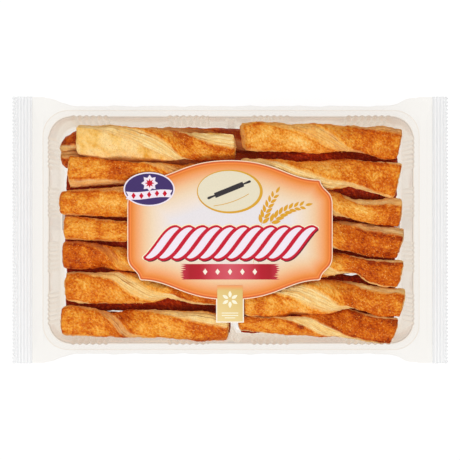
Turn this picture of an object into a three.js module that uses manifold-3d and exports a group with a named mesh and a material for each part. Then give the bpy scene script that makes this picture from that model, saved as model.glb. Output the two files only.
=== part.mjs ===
// A sealed flow-wrap pack of puff pastry twists, lying on its back with the printed side up.
//
// A tube of clear film is drawn round a shallow thermoformed tray that holds the twists in two
// layers, side by side in two columns. The tube is closed by a fin seal under the tray and by a
// crimped, saw-toothed seal at each end. The film lies flat on the tray's rim, falls from the rim
// to the tray's base, and fans out at each end into the wider seal. The bag is one closed solid of
// the film's outer form, because nothing opens it. The print on the film is three thin laminae.
//
// Millimetres, +Z up. The origin is under the middle of the pack, on the surface that it lies on.
// +X runs along the pack to the narrower seal, and +Y to the top edge of the print.

import * as THREE from 'three';
import { mergeVertices } from 'three/addons/utils/BufferGeometryUtils.js';
import Module from 'manifold-3d';

const wasm = await Module();
wasm.setup();

// ---- driving sizes ----
const PACK_LENGTH = 293.5; // over both end seals
const PACK_HEIGHT = 27.5; // from the table to the film over the tray's rim
const SEAL_SPAN = 179.6; // the film tube laid flat
const LEFT_SEAL_WIDTH = 13.4;
const RIGHT_SEAL_WIDTH = 10.3;
const SEAL_HEIGHT = 12; // of the seals' mid-plane above the table
const SEAL_THICKNESS = 0.6;

const TRAY_SHIFT = 0.7; // the tray sits this far towards +X in its tube
const RIM = { halfLength: 125.5, halfWidth: 80, corner: 17 }; // the tray's flange
const BASE = { halfLength: 117.3, halfWidth: 71.5, corner: 12 }; // the tray's foot

// Between rim and base the film bulges out past the rim, and near the ends it becomes the fold
// that runs into the end of each seal.
const SIDE_BULGE = { halfWidth: 82.6, height: 17 };
const FOLD_STARTS = 103; // from the pack's middle, along X
const FOLD_ENDS = 123;
const SIDE_STEPS = 8; // facets of the film's side, from rim to base
const SEAL_SHARE = 0.96; // of a seal's span, where the creases from rim and base reach it

// The fin seal lies folded flat in a shallow hollow of the tray's base.
const FIN = { low: 0, high: 11, drop: 0.1 };
const HOLLOW = { low: -3, high: 13, depth: 0.5 };
const STEP_WIDTH = 0.4; // of the slopes beside fin and hollow

const CRIMP_PITCH = 2.2; // ribs across a seal
const CRIMP_DEPTH = 0.35;
const TOOTH_PITCH = 2.5; // saw teeth along a seal's outer edge
const TOOTH_DEPTH = 1;
const SEAL_OVERLAP = 0.4; // how far a seal runs into the bag that it joins

const PRINT_GAP = 0.3; // between the film and a lamina, and between two laminae
const PRINT_THICKNESS = 0.35;
const PRINT_SEGMENTS = 24; // facets of each of a lamina's curves

// ---- small helpers ----
const lerp = THREE.MathUtils.lerp;
const smoothstep = THREE.MathUtils.smoothstep;

function toSolid(geometry) {
  const bare = geometry.clone();
  bare.deleteAttribute('normal');
  bare.deleteAttribute('uv');
  const merged = mergeVertices(bare, 1e-4);
  return new wasm.Manifold(new wasm.Mesh({
    numProp: 3,
    vertProperties: merged.attributes.position.array,
    triVerts: new Uint32Array(merged.index.array),
  }));
}

function toGeometry(solid) {
  const { vertProperties, triVerts } = solid.getMesh();
  const geometry = new THREE.BufferGeometry();
  geometry.setAttribute('position', new THREE.BufferAttribute(vertProperties, 3));
  geometry.setIndex(new THREE.BufferAttribute(triVerts, 1));
  geometry.computeVertexNormals();
  return geometry;
}

// Half the width of a rounded rectangle at a distance along its length.
function halfWidthAt(outline, distance) {
  const straight = outline.halfLength - outline.corner;
  if (distance <= straight) return outline.halfWidth;
  const along = Math.min(distance - straight, outline.corner);
  return outline.halfWidth - outline.corner + Math.sqrt(outline.corner ** 2 - along ** 2);
}

// ---- the bag: one loop of points round the pack at each station along it ----

// side is -1 for the left end and 1 for the right. reach is how far the station is from the middle.
function loopAt(side, reach) {
  const sealWidth = side < 0 ? LEFT_SEAL_WIDTH : RIGHT_SEAL_WIDTH;
  const sealStarts = PACK_LENGTH / 2 - sealWidth;
  const fromTray = reach - side * TRAY_SHIFT; // distance from the tray's middle
  const trayToSeal = sealStarts - side * TRAY_SHIFT;
  const sealHalf = SEAL_SPAN / 2;

  const rimPast = Math.max(0, (fromTray - RIM.halfLength) / (trayToSeal - RIM.halfLength));
  const basePast = Math.max(0, (fromTray - BASE.halfLength) / (trayToSeal - BASE.halfLength));
  const fold = smoothstep(reach, FOLD_STARTS, FOLD_ENDS);

  const rim = new THREE.Vector2(
    lerp(halfWidthAt(RIM, fromTray), sealHalf * SEAL_SHARE, rimPast),
    lerp(PACK_HEIGHT, SEAL_HEIGHT + SEAL_THICKNESS / 2, rimPast));
  const base = new THREE.Vector2(
    lerp(halfWidthAt(BASE, fromTray), sealHalf * SEAL_SHARE, basePast),
    lerp(0, SEAL_HEIGHT - SEAL_THICKNESS / 2, basePast));
  const middle = new THREE.Vector2(
    lerp(SIDE_BULGE.halfWidth, sealHalf, fold),
    lerp(SIDE_BULGE.height, SEAL_HEIGHT, fold));

  // The side is a round bulge beside the tray and a sharp fold at the ends.
  const control = middle.clone().multiplyScalar(2).sub(rim.clone().add(base).multiplyScalar(0.5));
  const bulge = new THREE.QuadraticBezierCurve(rim, control, base);
  const flank = [];
  for (let i = 0; i <= SIDE_STEPS; i++) {
    const t = i / SIDE_STEPS;
    const crease = t < 0.5
      ? rim.clone().lerp(middle, 2 * t)
      : middle.clone().lerp(base, 2 * t - 1);
    flank.push(bulge.getPoint(t).lerp(crease, fold));
  }

  // Under the tray, from +Y to -Y: hollow, fin, hollow. Both fade out towards the seals.
  const relief = 1 - basePast;
  const under = [
    [HOLLOW.high, 0],
    [HOLLOW.high - STEP_WIDTH, HOLLOW.depth],
    [FIN.high + STEP_WIDTH, HOLLOW.depth],
    [FIN.high, FIN.drop],
    [FIN.low, FIN.drop],
    [FIN.low - STEP_WIDTH, HOLLOW.depth],
    [HOLLOW.low + STEP_WIDTH, HOLLOW.depth],
    [HOLLOW.low, 0],
  ].map(([y, depth]) => [y, base.y + depth * relief]);

  const x = side * reach;
  return [
    ...flank.map((p) => [x, p.x, p.y]),
    ...under.map(([y, z]) => [x, y, z]),
    ...flank.toReversed().map((p) => [x, -p.x, p.y]),
  ];
}

// Distances from the middle at which the film changes direction, closer together on the curves.
function stations(side) {
  const sealWidth = side < 0 ? LEFT_SEAL_WIDTH : RIGHT_SEAL_WIDTH;
  const sealStarts = PACK_LENGTH / 2 - sealWidth;
  const shift = side * TRAY_SHIFT;
  const found = [40, FOLD_STARTS, sealStarts];
  for (const outline of [RIM, BASE])
    for (const turn of [0, 15, 30, 45, 60, 75, 90])
      found.push(outline.halfLength - outline.corner
        + outline.corner * Math.sin(THREE.MathUtils.degToRad(turn)) + shift);
  for (let reach = FOLD_STARTS; reach < FOLD_ENDS; reach += 2.5) found.push(reach);
  found.push((RIM.halfLength + shift + sealStarts) / 2);
  found.sort((a, b) => a - b);
  return found.filter((reach, i) => i === 0 || reach - found[i - 1] > 0.2);
}

function filmBody() {
  const rings = [
    ...stations(-1).toReversed().map((reach) => loopAt(-1, reach)),
    ...stations(1).map((reach) => loopAt(1, reach)),
  ];
  const count = rings[0].length;
  const triangles = [];
  for (let r = 0; r + 1 < rings.length; r++)
    for (let i = 0; i < count; i++) {
      const j = (i + 1) % count;
      const [a, b] = [r * count + i, r * count + j];
      triangles.push(a, b + count, b, a, a + count, b + count);
    }
  // The two end loops are closed by flat fans, which the seals then cover.
  const ends = [[0, false], [rings.length - 1, true]];
  for (const [r, turned] of ends) {
    const contour = rings[r].map(([, y, z]) => new THREE.Vector2(y, z));
    for (const [a, b, c] of THREE.ShapeUtils.triangulateShape(contour, [])) {
      const face = [a, b, c].map((i) => r * count + i);
      triangles.push(...(turned ? face : face.toReversed()));
    }
  }
  const geometry = new THREE.BufferGeometry();
  geometry.setAttribute('position', new THREE.Float32BufferAttribute(rings.flat(2), 3));
  geometry.setIndex(triangles);
  const solid = toSolid(geometry);
  return solid.volume() > 0 ? solid : toSolid(turnedInsideOut(geometry));
}

function turnedInsideOut(geometry) {
  const index = Array.from(geometry.index.array);
  for (let i = 0; i < index.length; i += 3) [index[i], index[i + 1]] = [index[i + 1], index[i]];
  return geometry.clone().setIndex(index);
}

// ---- an end seal: ribbed across its width, with saw teeth along its outer edge ----

function endSeal(side) {
  const width = side < 0 ? LEFT_SEAL_WIDTH : RIGHT_SEAL_WIDTH;
  const inner = PACK_LENGTH / 2 - width - SEAL_OVERLAP;
  const outer = PACK_LENGTH / 2;

  // Ribs: the section across the seal is a zigzag strip, extruded along Y.
  const ridges = [];
  for (let x = inner; x < outer + CRIMP_PITCH; x += CRIMP_PITCH / 2)
    ridges.push([x, ridges.length % 2 ? CRIMP_DEPTH / 2 : -CRIMP_DEPTH / 2]);
  const section = new THREE.Shape([
    ...ridges.map(([x, z]) => new THREE.Vector2(x, z - SEAL_THICKNESS / 2)),
    ...ridges.toReversed().map(([x, z]) => new THREE.Vector2(x, z + SEAL_THICKNESS / 2)),
  ]);
  const strip = new THREE.ExtrudeGeometry(section, { depth: SEAL_SPAN, bevelEnabled: false })
    .rotateX(Math.PI / 2)
    .translate(0, SEAL_SPAN / 2, SEAL_HEIGHT);

  // Teeth: an outline in plan, extruded through the strip.
  const teeth = Math.round(SEAL_SPAN / TOOTH_PITCH);
  const pitch = SEAL_SPAN / teeth;
  const outline = [new THREE.Vector2(inner, SEAL_SPAN / 2), new THREE.Vector2(inner, -SEAL_SPAN / 2)];
  for (let i = 0; i <= teeth; i++) {
    const y = -SEAL_SPAN / 2 + i * pitch;
    outline.push(new THREE.Vector2(outer - TOOTH_DEPTH, y));
    if (i < teeth) outline.push(new THREE.Vector2(outer, y + pitch / 2));
  }
  const cutter = new THREE.ExtrudeGeometry(new THREE.Shape(outline),
    { depth: 4 * SEAL_THICKNESS, bevelEnabled: false })
    .translate(0, 0, SEAL_HEIGHT - 2 * SEAL_THICKNESS);

  const seal = toSolid(strip).intersect(toSolid(cutter));
  return side < 0 ? seal.mirror([1, 0, 0]) : seal;
}

// ---- the print: flat laminae on the film, drawn from the middle of the panel ----

// The panel has ogee top and bottom edges and scalloped corners.
const PANEL = { halfWidth: 68.2, halfHeight: 46.4, cornerX: 59.9, cornerY: 33.4, sideY: 17 };

function panelShape() {
  const shape = new THREE.Shape();
  shape.moveTo(0, PANEL.halfHeight);
  const quarter = (sx, sy, inwards) => {
    const points = [
      [0, PANEL.halfHeight], [32, PANEL.halfHeight], [38.5, PANEL.cornerY],
      [PANEL.cornerX, PANEL.cornerY], [61.2, 25.5], [PANEL.halfWidth, 27],
      [PANEL.halfWidth, PANEL.sideY],
    ].map(([x, y]) => [x * sx, y * sy]);
    if (inwards) points.reverse();
    const [, b, c, d, e, f, g] = points;
    shape.bezierCurveTo(...b, ...c, ...d);
    shape.bezierCurveTo(...e, ...f, ...g);
  };
  quarter(1, 1, false);
  shape.lineTo(PANEL.halfWidth, -PANEL.sideY);
  quarter(1, -1, true);
  quarter(-1, -1, false);
  shape.lineTo(-PANEL.halfWidth, PANEL.sideY);
  quarter(-1, 1, true);
  return shape;
}

// The badge is an oval over the panel's upper left edge. grow widens it all round.
const BADGE = { x: -53.7, y: 27.1, halfWidth: 17, halfHeight: 11.3 };

function badgeShape(grow = 0) {
  const shape = new THREE.Shape();
  shape.absellipse(BADGE.x, BADGE.y, BADGE.halfWidth + grow, BADGE.halfHeight + grow, 0, 2 * Math.PI);
  return shape;
}

// The tag hangs from the middle of the panel's bottom edge.
const TAG = { halfWidth: 9.2, top: -36.8, bottom: -61.5 };

function tagShape(grow = 0) {
  const [half, top, bottom] = [TAG.halfWidth + grow, TAG.top + grow, TAG.bottom - grow];
  return new THREE.Shape([[-half, bottom], [half, bottom], [half, top], [-half, top]]
    .map(([x, y]) => new THREE.Vector2(x, y)));
}

function lamina(shape) {
  const flat = new THREE.ExtrudeGeometry(shape,
    { depth: PRINT_THICKNESS, bevelEnabled: false, curveSegments: PRINT_SEGMENTS });
  return toSolid(flat).translate([0, 0, PACK_HEIGHT + PRINT_GAP]);
}

// ---- the pack ----
const film = { roughness: 0.12, metalness: 0, transparent: true };
const print = { roughness: 0.3, metalness: 0 };

const bag = filmBody().add(endSeal(-1)).add(endSeal(1));
const panel = lamina(panelShape())
  .subtract(lamina(badgeShape(PRINT_GAP)))
  .subtract(lamina(tagShape(PRINT_GAP)));

const pieces = [
  ['bag', bag, { color: '#e9c489', opacity: 0.75, ...film }],
  ['panel', panel, { color: '#f6b184', ...print }],
  ['badge', lamina(badgeShape()), { color: '#4a3f86', ...print }],
  ['tag', lamina(tagShape()), { color: '#ddd08a', ...print }],
];

const pack = new THREE.Group();
for (const [name, solid, look] of pieces) {
  const mesh = new THREE.Mesh(toGeometry(solid), new THREE.MeshStandardMaterial(look));
  mesh.name = name;
  pack.add(mesh);
}

export default pack;
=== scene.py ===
import math

import bpy
import numpy as np
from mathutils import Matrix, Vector


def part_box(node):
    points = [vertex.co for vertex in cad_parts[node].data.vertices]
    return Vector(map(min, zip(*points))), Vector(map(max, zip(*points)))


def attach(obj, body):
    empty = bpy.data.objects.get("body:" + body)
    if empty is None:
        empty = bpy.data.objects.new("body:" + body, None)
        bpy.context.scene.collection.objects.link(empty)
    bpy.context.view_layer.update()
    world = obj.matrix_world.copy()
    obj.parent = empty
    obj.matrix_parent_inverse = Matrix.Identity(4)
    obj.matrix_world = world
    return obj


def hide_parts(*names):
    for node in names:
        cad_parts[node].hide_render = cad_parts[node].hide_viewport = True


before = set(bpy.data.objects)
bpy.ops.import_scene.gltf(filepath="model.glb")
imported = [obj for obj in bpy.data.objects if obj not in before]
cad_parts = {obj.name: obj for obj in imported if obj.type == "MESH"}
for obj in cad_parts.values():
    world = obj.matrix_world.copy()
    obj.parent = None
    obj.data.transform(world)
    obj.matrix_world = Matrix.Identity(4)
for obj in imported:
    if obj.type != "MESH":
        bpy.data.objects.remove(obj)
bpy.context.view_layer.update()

# ----------------------------------------
# The tray. One sheet of clear plastic, drawn hot over a mould into a shallow box with a flat rim.
# Upright flutes in groups stiffen its walls, and its foot is ribbed where the mould let air out.
# ----------------------------------------

MM = 0.001
TRAY_MIDDLE = 0.7 * MM  # along X: the tray sits a little towards the narrow seal
TRAY_SHEET = 0.4 * MM
TRAY_FOOT_Z = 0.7 * MM
TRAY_RIM_Z = 26.6 * MM

# Half length, half width and corner radius at the foot, the mouth and the rim's outer edge.
TRAY_FOOT = (115.6 * MM, 70.2 * MM, 11 * MM)
TRAY_MOUTH = (120.6 * MM, 74.9 * MM, 14.5 * MM)
TRAY_RIM = (125.3 * MM, 79.7 * MM, 17 * MM)

LONG_WALL_STEPS, SHORT_WALL_STEPS, CORNER_STEPS = 280, 190, 16
LONG_FLUTE, SHORT_FLUTE = 4.3 * MM, 3.0 * MM  # from one flute to the next
FLUTE_DEPTH = 1.3 * MM
# Where along the long and the short walls the flutes run, from the wall's middle.
LONG_GROUPS = [(-114, -81), (-42, -14.5), (13, 40), (75, 112)]
SHORT_GROUPS = [(-62, -40), (-28, -8), (8, 28), (40, 62)]
PILASTER = (2.2 * MM, 4.5 * MM)  # half width of the step at mid-wall, and how far it stands in
# Painted warm glow of the pastry on the long walls, and painted shade along the flutes.
LONG_WALL_PAINTED_GLOW, FLUTE_PAINTED_SHADE = 0.1, 0.05
LEVELS_AT_ONCE = 60  # more are cut in two goes, as one subdivision makes no more than 100 cuts
MIRROR_FALL = 3.7  # how fast the gloss of clear plastic fades from edge on to straight on


def paint(red, green, blue):
    """A colour as a picture shows it, from 0 to 255, for a shader."""
    shares = [value / 255 for value in (red, green, blue)]
    return tuple(s / 12.92 if s <= 0.04045 else ((s + 0.055) / 1.055) ** 2.4 for s in shares) + (1,)


def pick_only(piece):
    """Leaves nothing selected but this piece, ready for an operator."""
    bpy.ops.object.select_all(action="DESELECT")
    piece.select_set(True)
    bpy.context.view_layer.objects.active = piece


def places_of(piece):
    """Where the piece's vertices are, one row each."""
    flat = np.zeros(len(piece.data.vertices) * 3)
    piece.data.vertices.foreach_get("co", flat)
    return flat.reshape(-1, 3)


def move_to(piece, places):
    """Puts the piece's vertices at new places, as a hand would push them."""
    piece.data.vertices.foreach_set("co", np.asarray(places, float).ravel())
    piece.data.update()


def store(piece, field, values):
    """Keeps one number for each vertex, for a material to read."""
    piece.data.attributes.new(field, "FLOAT", "POINT").data.foreach_set("value", values)


def cut_upright(piece, taller, cuts):
    """Cuts each edge that rises further than taller into even lengths."""
    bpy.ops.object.mode_set(mode="EDIT")
    bpy.ops.mesh.select_all(action="DESELECT")
    bpy.ops.object.mode_set(mode="OBJECT")
    height = places_of(piece)[:, 2]
    for edge in piece.data.edges:
        edge.select = abs(height[edge.vertices[0]] - height[edge.vertices[1]]) > taller
    bpy.ops.object.mode_set(mode="EDIT")
    bpy.ops.mesh.select_mode(type="EDGE")
    bpy.ops.mesh.subdivide(number_cuts=cuts)
    bpy.ops.object.mode_set(mode="OBJECT")


def column(name, sides, levels, ends="NGON"):
    """A tube two units high and one in radius, cut into levels, to be pressed into a form."""
    bpy.ops.object.select_all(action="DESELECT")
    bpy.ops.mesh.primitive_cylinder_add(
        vertices=sides, radius=1, depth=2, end_fill_type=ends, calc_uvs=False)
    piece = bpy.context.object
    piece.name = piece.data.name = name
    if levels > LEVELS_AT_ONCE:
        cut_upright(piece, 1, 1)
        cut_upright(piece, 0.5, levels // 2 - 1)
    else:
        cut_upright(piece, 1, levels - 1)
    return piece


def around_and_up(piece, sides, levels):
    """For each vertex of a column: which side it stands at, and on which level."""
    x, y, z = places_of(piece).T
    side = np.rint(np.arctan2(y, x) / (2 * math.pi) * sides).astype(int) % sides
    return side, np.rint((z + 1) / 2 * levels).astype(int)


def face_outwards(piece):
    """Merges doubled vertices and turns every face outwards."""
    pick_only(piece)
    bpy.ops.object.mode_set(mode="EDIT")
    bpy.ops.mesh.select_all(action="SELECT")
    bpy.ops.mesh.remove_doubles(threshold=1e-6)
    bpy.ops.mesh.normals_make_consistent(inside=False)
    bpy.ops.object.mode_set(mode="OBJECT")


def finish_with(piece, kind, **settings):
    """Adds one modifier, sets it and applies it."""
    pick_only(piece)
    modifier = piece.modifiers.new(kind.lower(), kind)
    for name, value in settings.items():
        setattr(modifier, name, value)
    bpy.ops.object.modifier_apply(modifier=modifier.name)


def rounded_box(half_length, half_width, corner, long_steps, short_steps, corner_steps):
    """A rounded rectangle, anticlockwise from its lower right straight: places and outward normals."""
    places, normals = [], []
    for quarter in range(4):
        along_x = quarter % 2 == 1
        turn = quarter * math.pi / 2
        reach = (half_width if along_x else half_length) - corner
        run = (half_length if along_x else half_width) - corner
        steps = long_steps if along_x else short_steps
        out = Vector((math.cos(turn), math.sin(turn)))
        on = Vector((-out.y, out.x))
        for i in range(steps):
            places.append(out * (reach + corner) + on * run * (2 * i / steps - 1))
            normals.append(out)
        for i in range(corner_steps):
            angle = turn + math.pi / 2 * i / corner_steps
            way = Vector((math.cos(angle), math.sin(angle)))
            places.append(out * reach + on * run + way * corner)
            normals.append(way)
    return np.array(places), np.array(normals)


def flutes(places, normals):
    """How deep the flutes press into the wall at each place, from 0 to 1."""
    depth = np.zeros(len(places))
    for along, across, groups, pitch in (
            (0, 1, LONG_GROUPS, LONG_FLUTE), (1, 0, SHORT_GROUPS, SHORT_FLUTE)):
        on_wall = np.abs(normals[:, across]) > 0.99
        run = places[:, along]
        for start, stop in groups:
            inside = on_wall & (run > start * MM) & (run < stop * MM)
            wave = 0.5 - 0.5 * np.cos(2 * math.pi * (run - start * MM) / pitch)
            depth = np.where(inside, wave, depth)
    return depth


# Each level of the tray, from the middle of its foot up to the lip: how far out it lies, from
# foot to mouth to rim, its height, how much of the flutes it takes, and how much painted glow and
# shade it takes: the pastry's warm glow on the walls, and painted shade in lines at the foot, in the
# crease round the mouth and at the rim's outer edge, and faintly over the rim.
TRAY_LEVELS = (
    [("floor", t, 0.6, 0, 0) for t in (0.0, 0.35, 0.7, 0.9)]
    + [("foot", -3.0, 0.6, 0, 0), ("foot", -2.2, 0.0, 0.0, 0.1), ("foot", -0.8, 0.0, 0.3, 0.1)]
    + [("wall", t, None, 0.5 + 0.5 * t, 0.14) for t in (0.0, 0.06, 0.2, 0.4, 0.6, 0.8, 0.92, 0.98)]
    + [("rim", 0.0, None, 1.0, 1.0), ("rim", 0.05, None, 0.9, 1.0), ("rim", 0.14, None, 0.6, 0.1)]
    + [("rim", t, None, 0, 0.03 if t < 0.9 else 0.1) for t in (0.3, 0.84, 0.92, 1.0)]
)


def make_tray():
    steps = (LONG_WALL_STEPS, SHORT_WALL_STEPS, CORNER_STEPS)
    sides = 2 * sum(steps[:2]) + 4 * CORNER_STEPS
    foot, normals = rounded_box(*TRAY_FOOT, *steps)
    mouth, _ = rounded_box(*TRAY_MOUTH, *steps)
    rim, _ = rounded_box(*TRAY_RIM, *steps)
    pressed = flutes(foot, normals)
    # A single broad step stands into the tray at the middle of each long wall.
    half, inward = PILASTER
    beside = np.abs(foot[:, 0]) / half
    step = np.clip(1.6 - beside, 0, 1) * (np.abs(normals[:, 1]) > 0.99)
    tray = column("tray", sides, len(TRAY_LEVELS) - 1, "NOTHING")
    side, level = around_and_up(tray, sides, len(TRAY_LEVELS) - 1)
    places = np.zeros((len(side), 3))
    painted_glow_and_shade = np.zeros(len(side))
    for i, (part, t, lift, share, glow_and_shade_share) in enumerate(TRAY_LEVELS):
        if part == "floor":
            ring = foot * t
            height = TRAY_FOOT_Z + lift * MM
        elif part == "foot":
            ring = foot + normals * t * MM
            height = TRAY_FOOT_Z + lift * MM
        elif part == "wall":
            ring = foot * (1 - t) + mouth * t
            height = TRAY_FOOT_Z + (TRAY_RIM_Z - TRAY_FOOT_Z) * (0.03 + 0.97 * t ** 1.03)
        else:
            ring = mouth * (1 - t) + rim * t
            height = TRAY_RIM_Z - 0.5 * MM * (t > 0.99)
        ring = ring + normals * (pressed * FLUTE_DEPTH * share)[:, None]
        if part in ("foot", "wall"):
            ring = ring - normals * (step * inward * (1 - 0.55 * max(t, 0)))[:, None]
        here = level == i
        places[here, :2] = ring[side[here]]
        places[here, 2] = height
        painted_glow_and_shade[here] = glow_and_shade_share
        if part == "wall":
            # The long walls lie close along the pastry: its warm glow on them is painted in, with painted
            # shade along the flutes.
            facing = np.abs(normals[:, 1])
            painted_wall_glow_and_shade = LONG_WALL_PAINTED_GLOW * facing + FLUTE_PAINTED_SHADE * pressed * (1 + 2.5 * facing ** 2)
            painted_glow_and_shade[here] += painted_wall_glow_and_shade[side[here]]
    places[:, 0] += TRAY_MIDDLE
    move_to(tray, places)
    store(tray, "painted_glow_and_shade", painted_glow_and_shade)
    face_outwards(tray)
    finish_with(tray, "SOLIDIFY", thickness=TRAY_SHEET, offset=0)
    bpy.ops.object.shade_smooth_by_angle(angle=math.radians(40))
    return tray


def shader_nodes(name):
    """A new material with nodes, cleared but for its output."""
    finish = bpy.data.materials.new(name)
    finish.use_nodes = True
    nodes = finish.node_tree.nodes
    nodes.clear()
    nodes.new("ShaderNodeOutputMaterial")
    return finish, nodes, finish.node_tree.links


def add(nodes, kind, inputs=None, **settings):
    """Adds a node and sets it. An input takes a number, a colour or another node's output."""
    node = nodes.new("ShaderNode" + kind)
    for setting, value in settings.items():
        setattr(node, setting, value)
    for socket, value in (inputs or {}).items():
        if isinstance(value, bpy.types.NodeSocket):
            nodes.id_data.links.new(value, node.inputs[socket])
        else:
            node.inputs[socket].default_value = value
    return node


def field(nodes, name, output="Fac"):
    """What the piece's vertices keep under a name."""
    return add(nodes, "Attribute", attribute_name=name).outputs[output]


def sums(nodes, kind, *values):
    """One step of arithmetic."""
    return add(nodes, "Math", dict(enumerate(values)), operation=kind).outputs["Value"]


def ramp(nodes, value, *stops):
    """Goes from colour to colour as the value rises. A stop is a place from 0 to 1 and a colour."""
    node = add(nodes, "ValToRGB", {"Fac": value})
    steps = node.color_ramp.elements
    while len(steps) < len(stops):
        steps.new(0.5)
    for step, (place, colour) in zip(steps, stops):
        step.position, step.color = place, colour
    return node.outputs["Color"]


def clear_plastic(name, passed, gloss, haze, mirror):
    """Thin clear sheet: what is behind it, tinted, under a gloss that grows towards its edges.

    passed tints what is seen through it. haze is the share of milky film, and mirror how much it
    reflects: what slant adds, edge on, and the share straight on.
    """
    finish, nodes, links = shader_nodes(name)
    through = add(nodes, "BsdfTransparent", {"Color": passed}, name="through")
    shine = add(nodes, "BsdfGlossy", {"Roughness": gloss})
    # Both faces of a sheet mirror alike: a little straight on, and more where it is seen aslant.
    slant = add(nodes, "LayerWeight").outputs["Facing"]
    share = sums(nodes, "MULTIPLY_ADD", sums(nodes, "POWER", slant, MIRROR_FALL), *mirror)
    sheet = add(nodes, "MixShader", {0: share, 1: through.outputs["BSDF"], 2: shine.outputs["BSDF"]})
    milk = add(nodes, "BsdfDiffuse", {"Color": paint(240, 236, 230)}, name="milk")
    clouded = add(nodes, "MixShader", {0: haze, 1: sheet.outputs["Shader"], 2: milk.outputs["BSDF"]})
    links.new(clouded.outputs["Shader"], nodes["Material Output"].inputs["Surface"])
    return finish, nodes, links


def tray_plastic():
    """Clear, with the pastry's warm glow painted on where it stands along it, and painted shade in the crease
    round its mouth and in lines at its foot and rim.
    """
    finish, nodes, links = clear_plastic(
        "clear tray", (1, 1, 1, 1), gloss=0.1, haze=0.005, mirror=(0.32, 0.01))
    # Painted glow and shade: warm on the walls, grey in the crease round the mouth and in the lines at foot
    # and rim.
    shades = ramp(nodes, field(nodes, "painted_glow_and_shade"),
                  (0, (1, 1, 1, 1)), (0.3, paint(247, 239, 229)), (1, paint(232, 226, 222)))
    links.new(shades, nodes["through"].inputs["Color"])
    return finish


tray = make_tray()
tray.data.materials.append(tray_plastic())
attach(tray, "root")

# ----------------------------------------
# The twists. A strip of layered dough, sugared on its faces, is cut, turned half round or more
# about its own length and baked. The sugared faces brown, and the cut sides stay pale and show
# the layers. Two rows of seven lie side by side in the tray, over two lower rows.
# ----------------------------------------

PIXEL = 0.665 * MM  # one pixel of the picture, at the height of the tray's rim
PICTURE_MIDDLE = (229.7, 229.9)
CAMERA_HEIGHT = 1.25

STRIP_LAYERS = 8
LAYER_GROOVE = 0.45 * MM
UPPER_Z, LOWER_Z = 19.4 * MM, 7.7 * MM
FACE_STEPS, CUT_STEPS = 30, 28  # across a face and a cut side, on an upper twist
UPPER_LENGTH_STEPS = 152
LOWER_STEPS, LOWER_LENGTH_STEPS = 16, 80  # the same on a lower one
BROWNED_EDGE = 3.4 * MM  # how far the faces' brown fades into the cut sides
BROWN_WRAP = 1.5 * MM  # how far in from their corners it is half gone
END_INSETS = (0.04, 0.17, 0.17, 0.17, 0.17)  # the rings that close an end, as shares of its radius
END_ROUND = 2.6 * MM
CUT_SOFTNESS, FACE_SOFTNESS = 0.24, 0.42  # how round the section's corners are
TWIST_TOP, TWIST_FLOOR = 27.0 * MM, 1.6 * MM  # under the film, and on the tray's floor
PRESS_SOFTNESS = 0.8 * MM
FACE_CROWN, UNEVEN = 0.7, 0.35  # in mm: how far a face bulges, and how much the thickness wanders
BURNT, BURNT_SIZE = 2.6, 1.6 * MM  # how much darker a scorched spot is, and how wide


def on_pack(across, down, height):
    """A place on the pack in metres, from a pixel of the picture and the height of what it shows."""
    pixel = PIXEL * (CAMERA_HEIGHT - height) / (CAMERA_HEIGHT - TRAY_RIM_Z)
    return (across - PICTURE_MIDDLE[0]) * pixel, (PICTURE_MIDDLE[1] - down) * pixel


def waver(run, length, seed):
    """An uneven wave between about -1 and 1 that repeats over no short stretch."""
    phases = np.random.default_rng(seed).uniform(0, 2 * math.pi, 4)
    waves = [np.sin(2 * math.pi * run / length * rate + phase) / rate
             for rate, phase in zip((1, 1.7, 2.9, 4.6), phases)]
    return sum(waves) / 1.7


def dough_blank(name, face_steps, cut_steps, length_steps):
    """A plain bar with evenly spaced vertices, closed by rings at both ends."""
    blank = column(name, 2 * (face_steps + cut_steps), length_steps)
    bpy.ops.object.mode_set(mode="EDIT")
    bpy.ops.mesh.select_all(action="DESELECT")
    bpy.ops.mesh.select_mode(type="FACE")
    bpy.ops.object.mode_set(mode="OBJECT")
    for face in blank.data.polygons:
        face.select = len(face.vertices) > 4
    bpy.ops.object.mode_set(mode="EDIT")
    for inset in END_INSETS:
        bpy.ops.mesh.inset(thickness=inset)
    bpy.ops.mesh.poke()
    bpy.ops.object.mode_set(mode="OBJECT")
    return blank


def strip_section(blank, face_steps, cut_steps):
    """Where each vertex sits on the strip: along it, across it and through it.

    Then how far out it lies on its ring, less than 1 on the ends alone, and how far it is on a cut side.
    """
    x, y, z = places_of(blank).T
    sides = 2 * (face_steps + cut_steps)
    side = np.rint(np.arctan2(y, x) / (2 * math.pi) * sides) % sides
    across, through, on_cut = np.zeros((3, len(side)))
    start = 0
    for steps, cut, sign in ((face_steps, False, 1), (cut_steps, True, -1),
                             (face_steps, False, -1), (cut_steps, True, 1)):
        here = (side >= start) & (side < start + steps)
        t = 1 - 2 * (side - start) / steps
        across[here] = sign if cut else (t * sign)[here]
        through[here] = (-t * sign)[here] if cut else sign
        on_cut[here] = np.clip((1 - np.abs(t)) * 6, 0, 1)[here] if cut else 0
        start += steps
    radius = np.minimum(np.hypot(x, y), 1)
    return z, across, through, radius, on_cut


def smooth(t):
    """Eases from 0 to 1 without a kink at either end."""
    t = np.clip(t, 0, 1)
    return t * t * (3 - 2 * t)


def stationed(stations, x, height):
    """A value at each place along a twist, from pixels across the picture and their values, smoothed."""
    across, values = np.array(stations, float).T
    at, _ = on_pack(across, 0, height)
    fine = np.linspace(x.min(), x.max(), 240)
    window = np.hanning(19)
    padded = np.pad(np.interp(fine, at, values), 9, "reflect", reflect_type="odd")
    return np.interp(x, fine, np.convolve(padded, window / window.sum(), "valid"))


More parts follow.
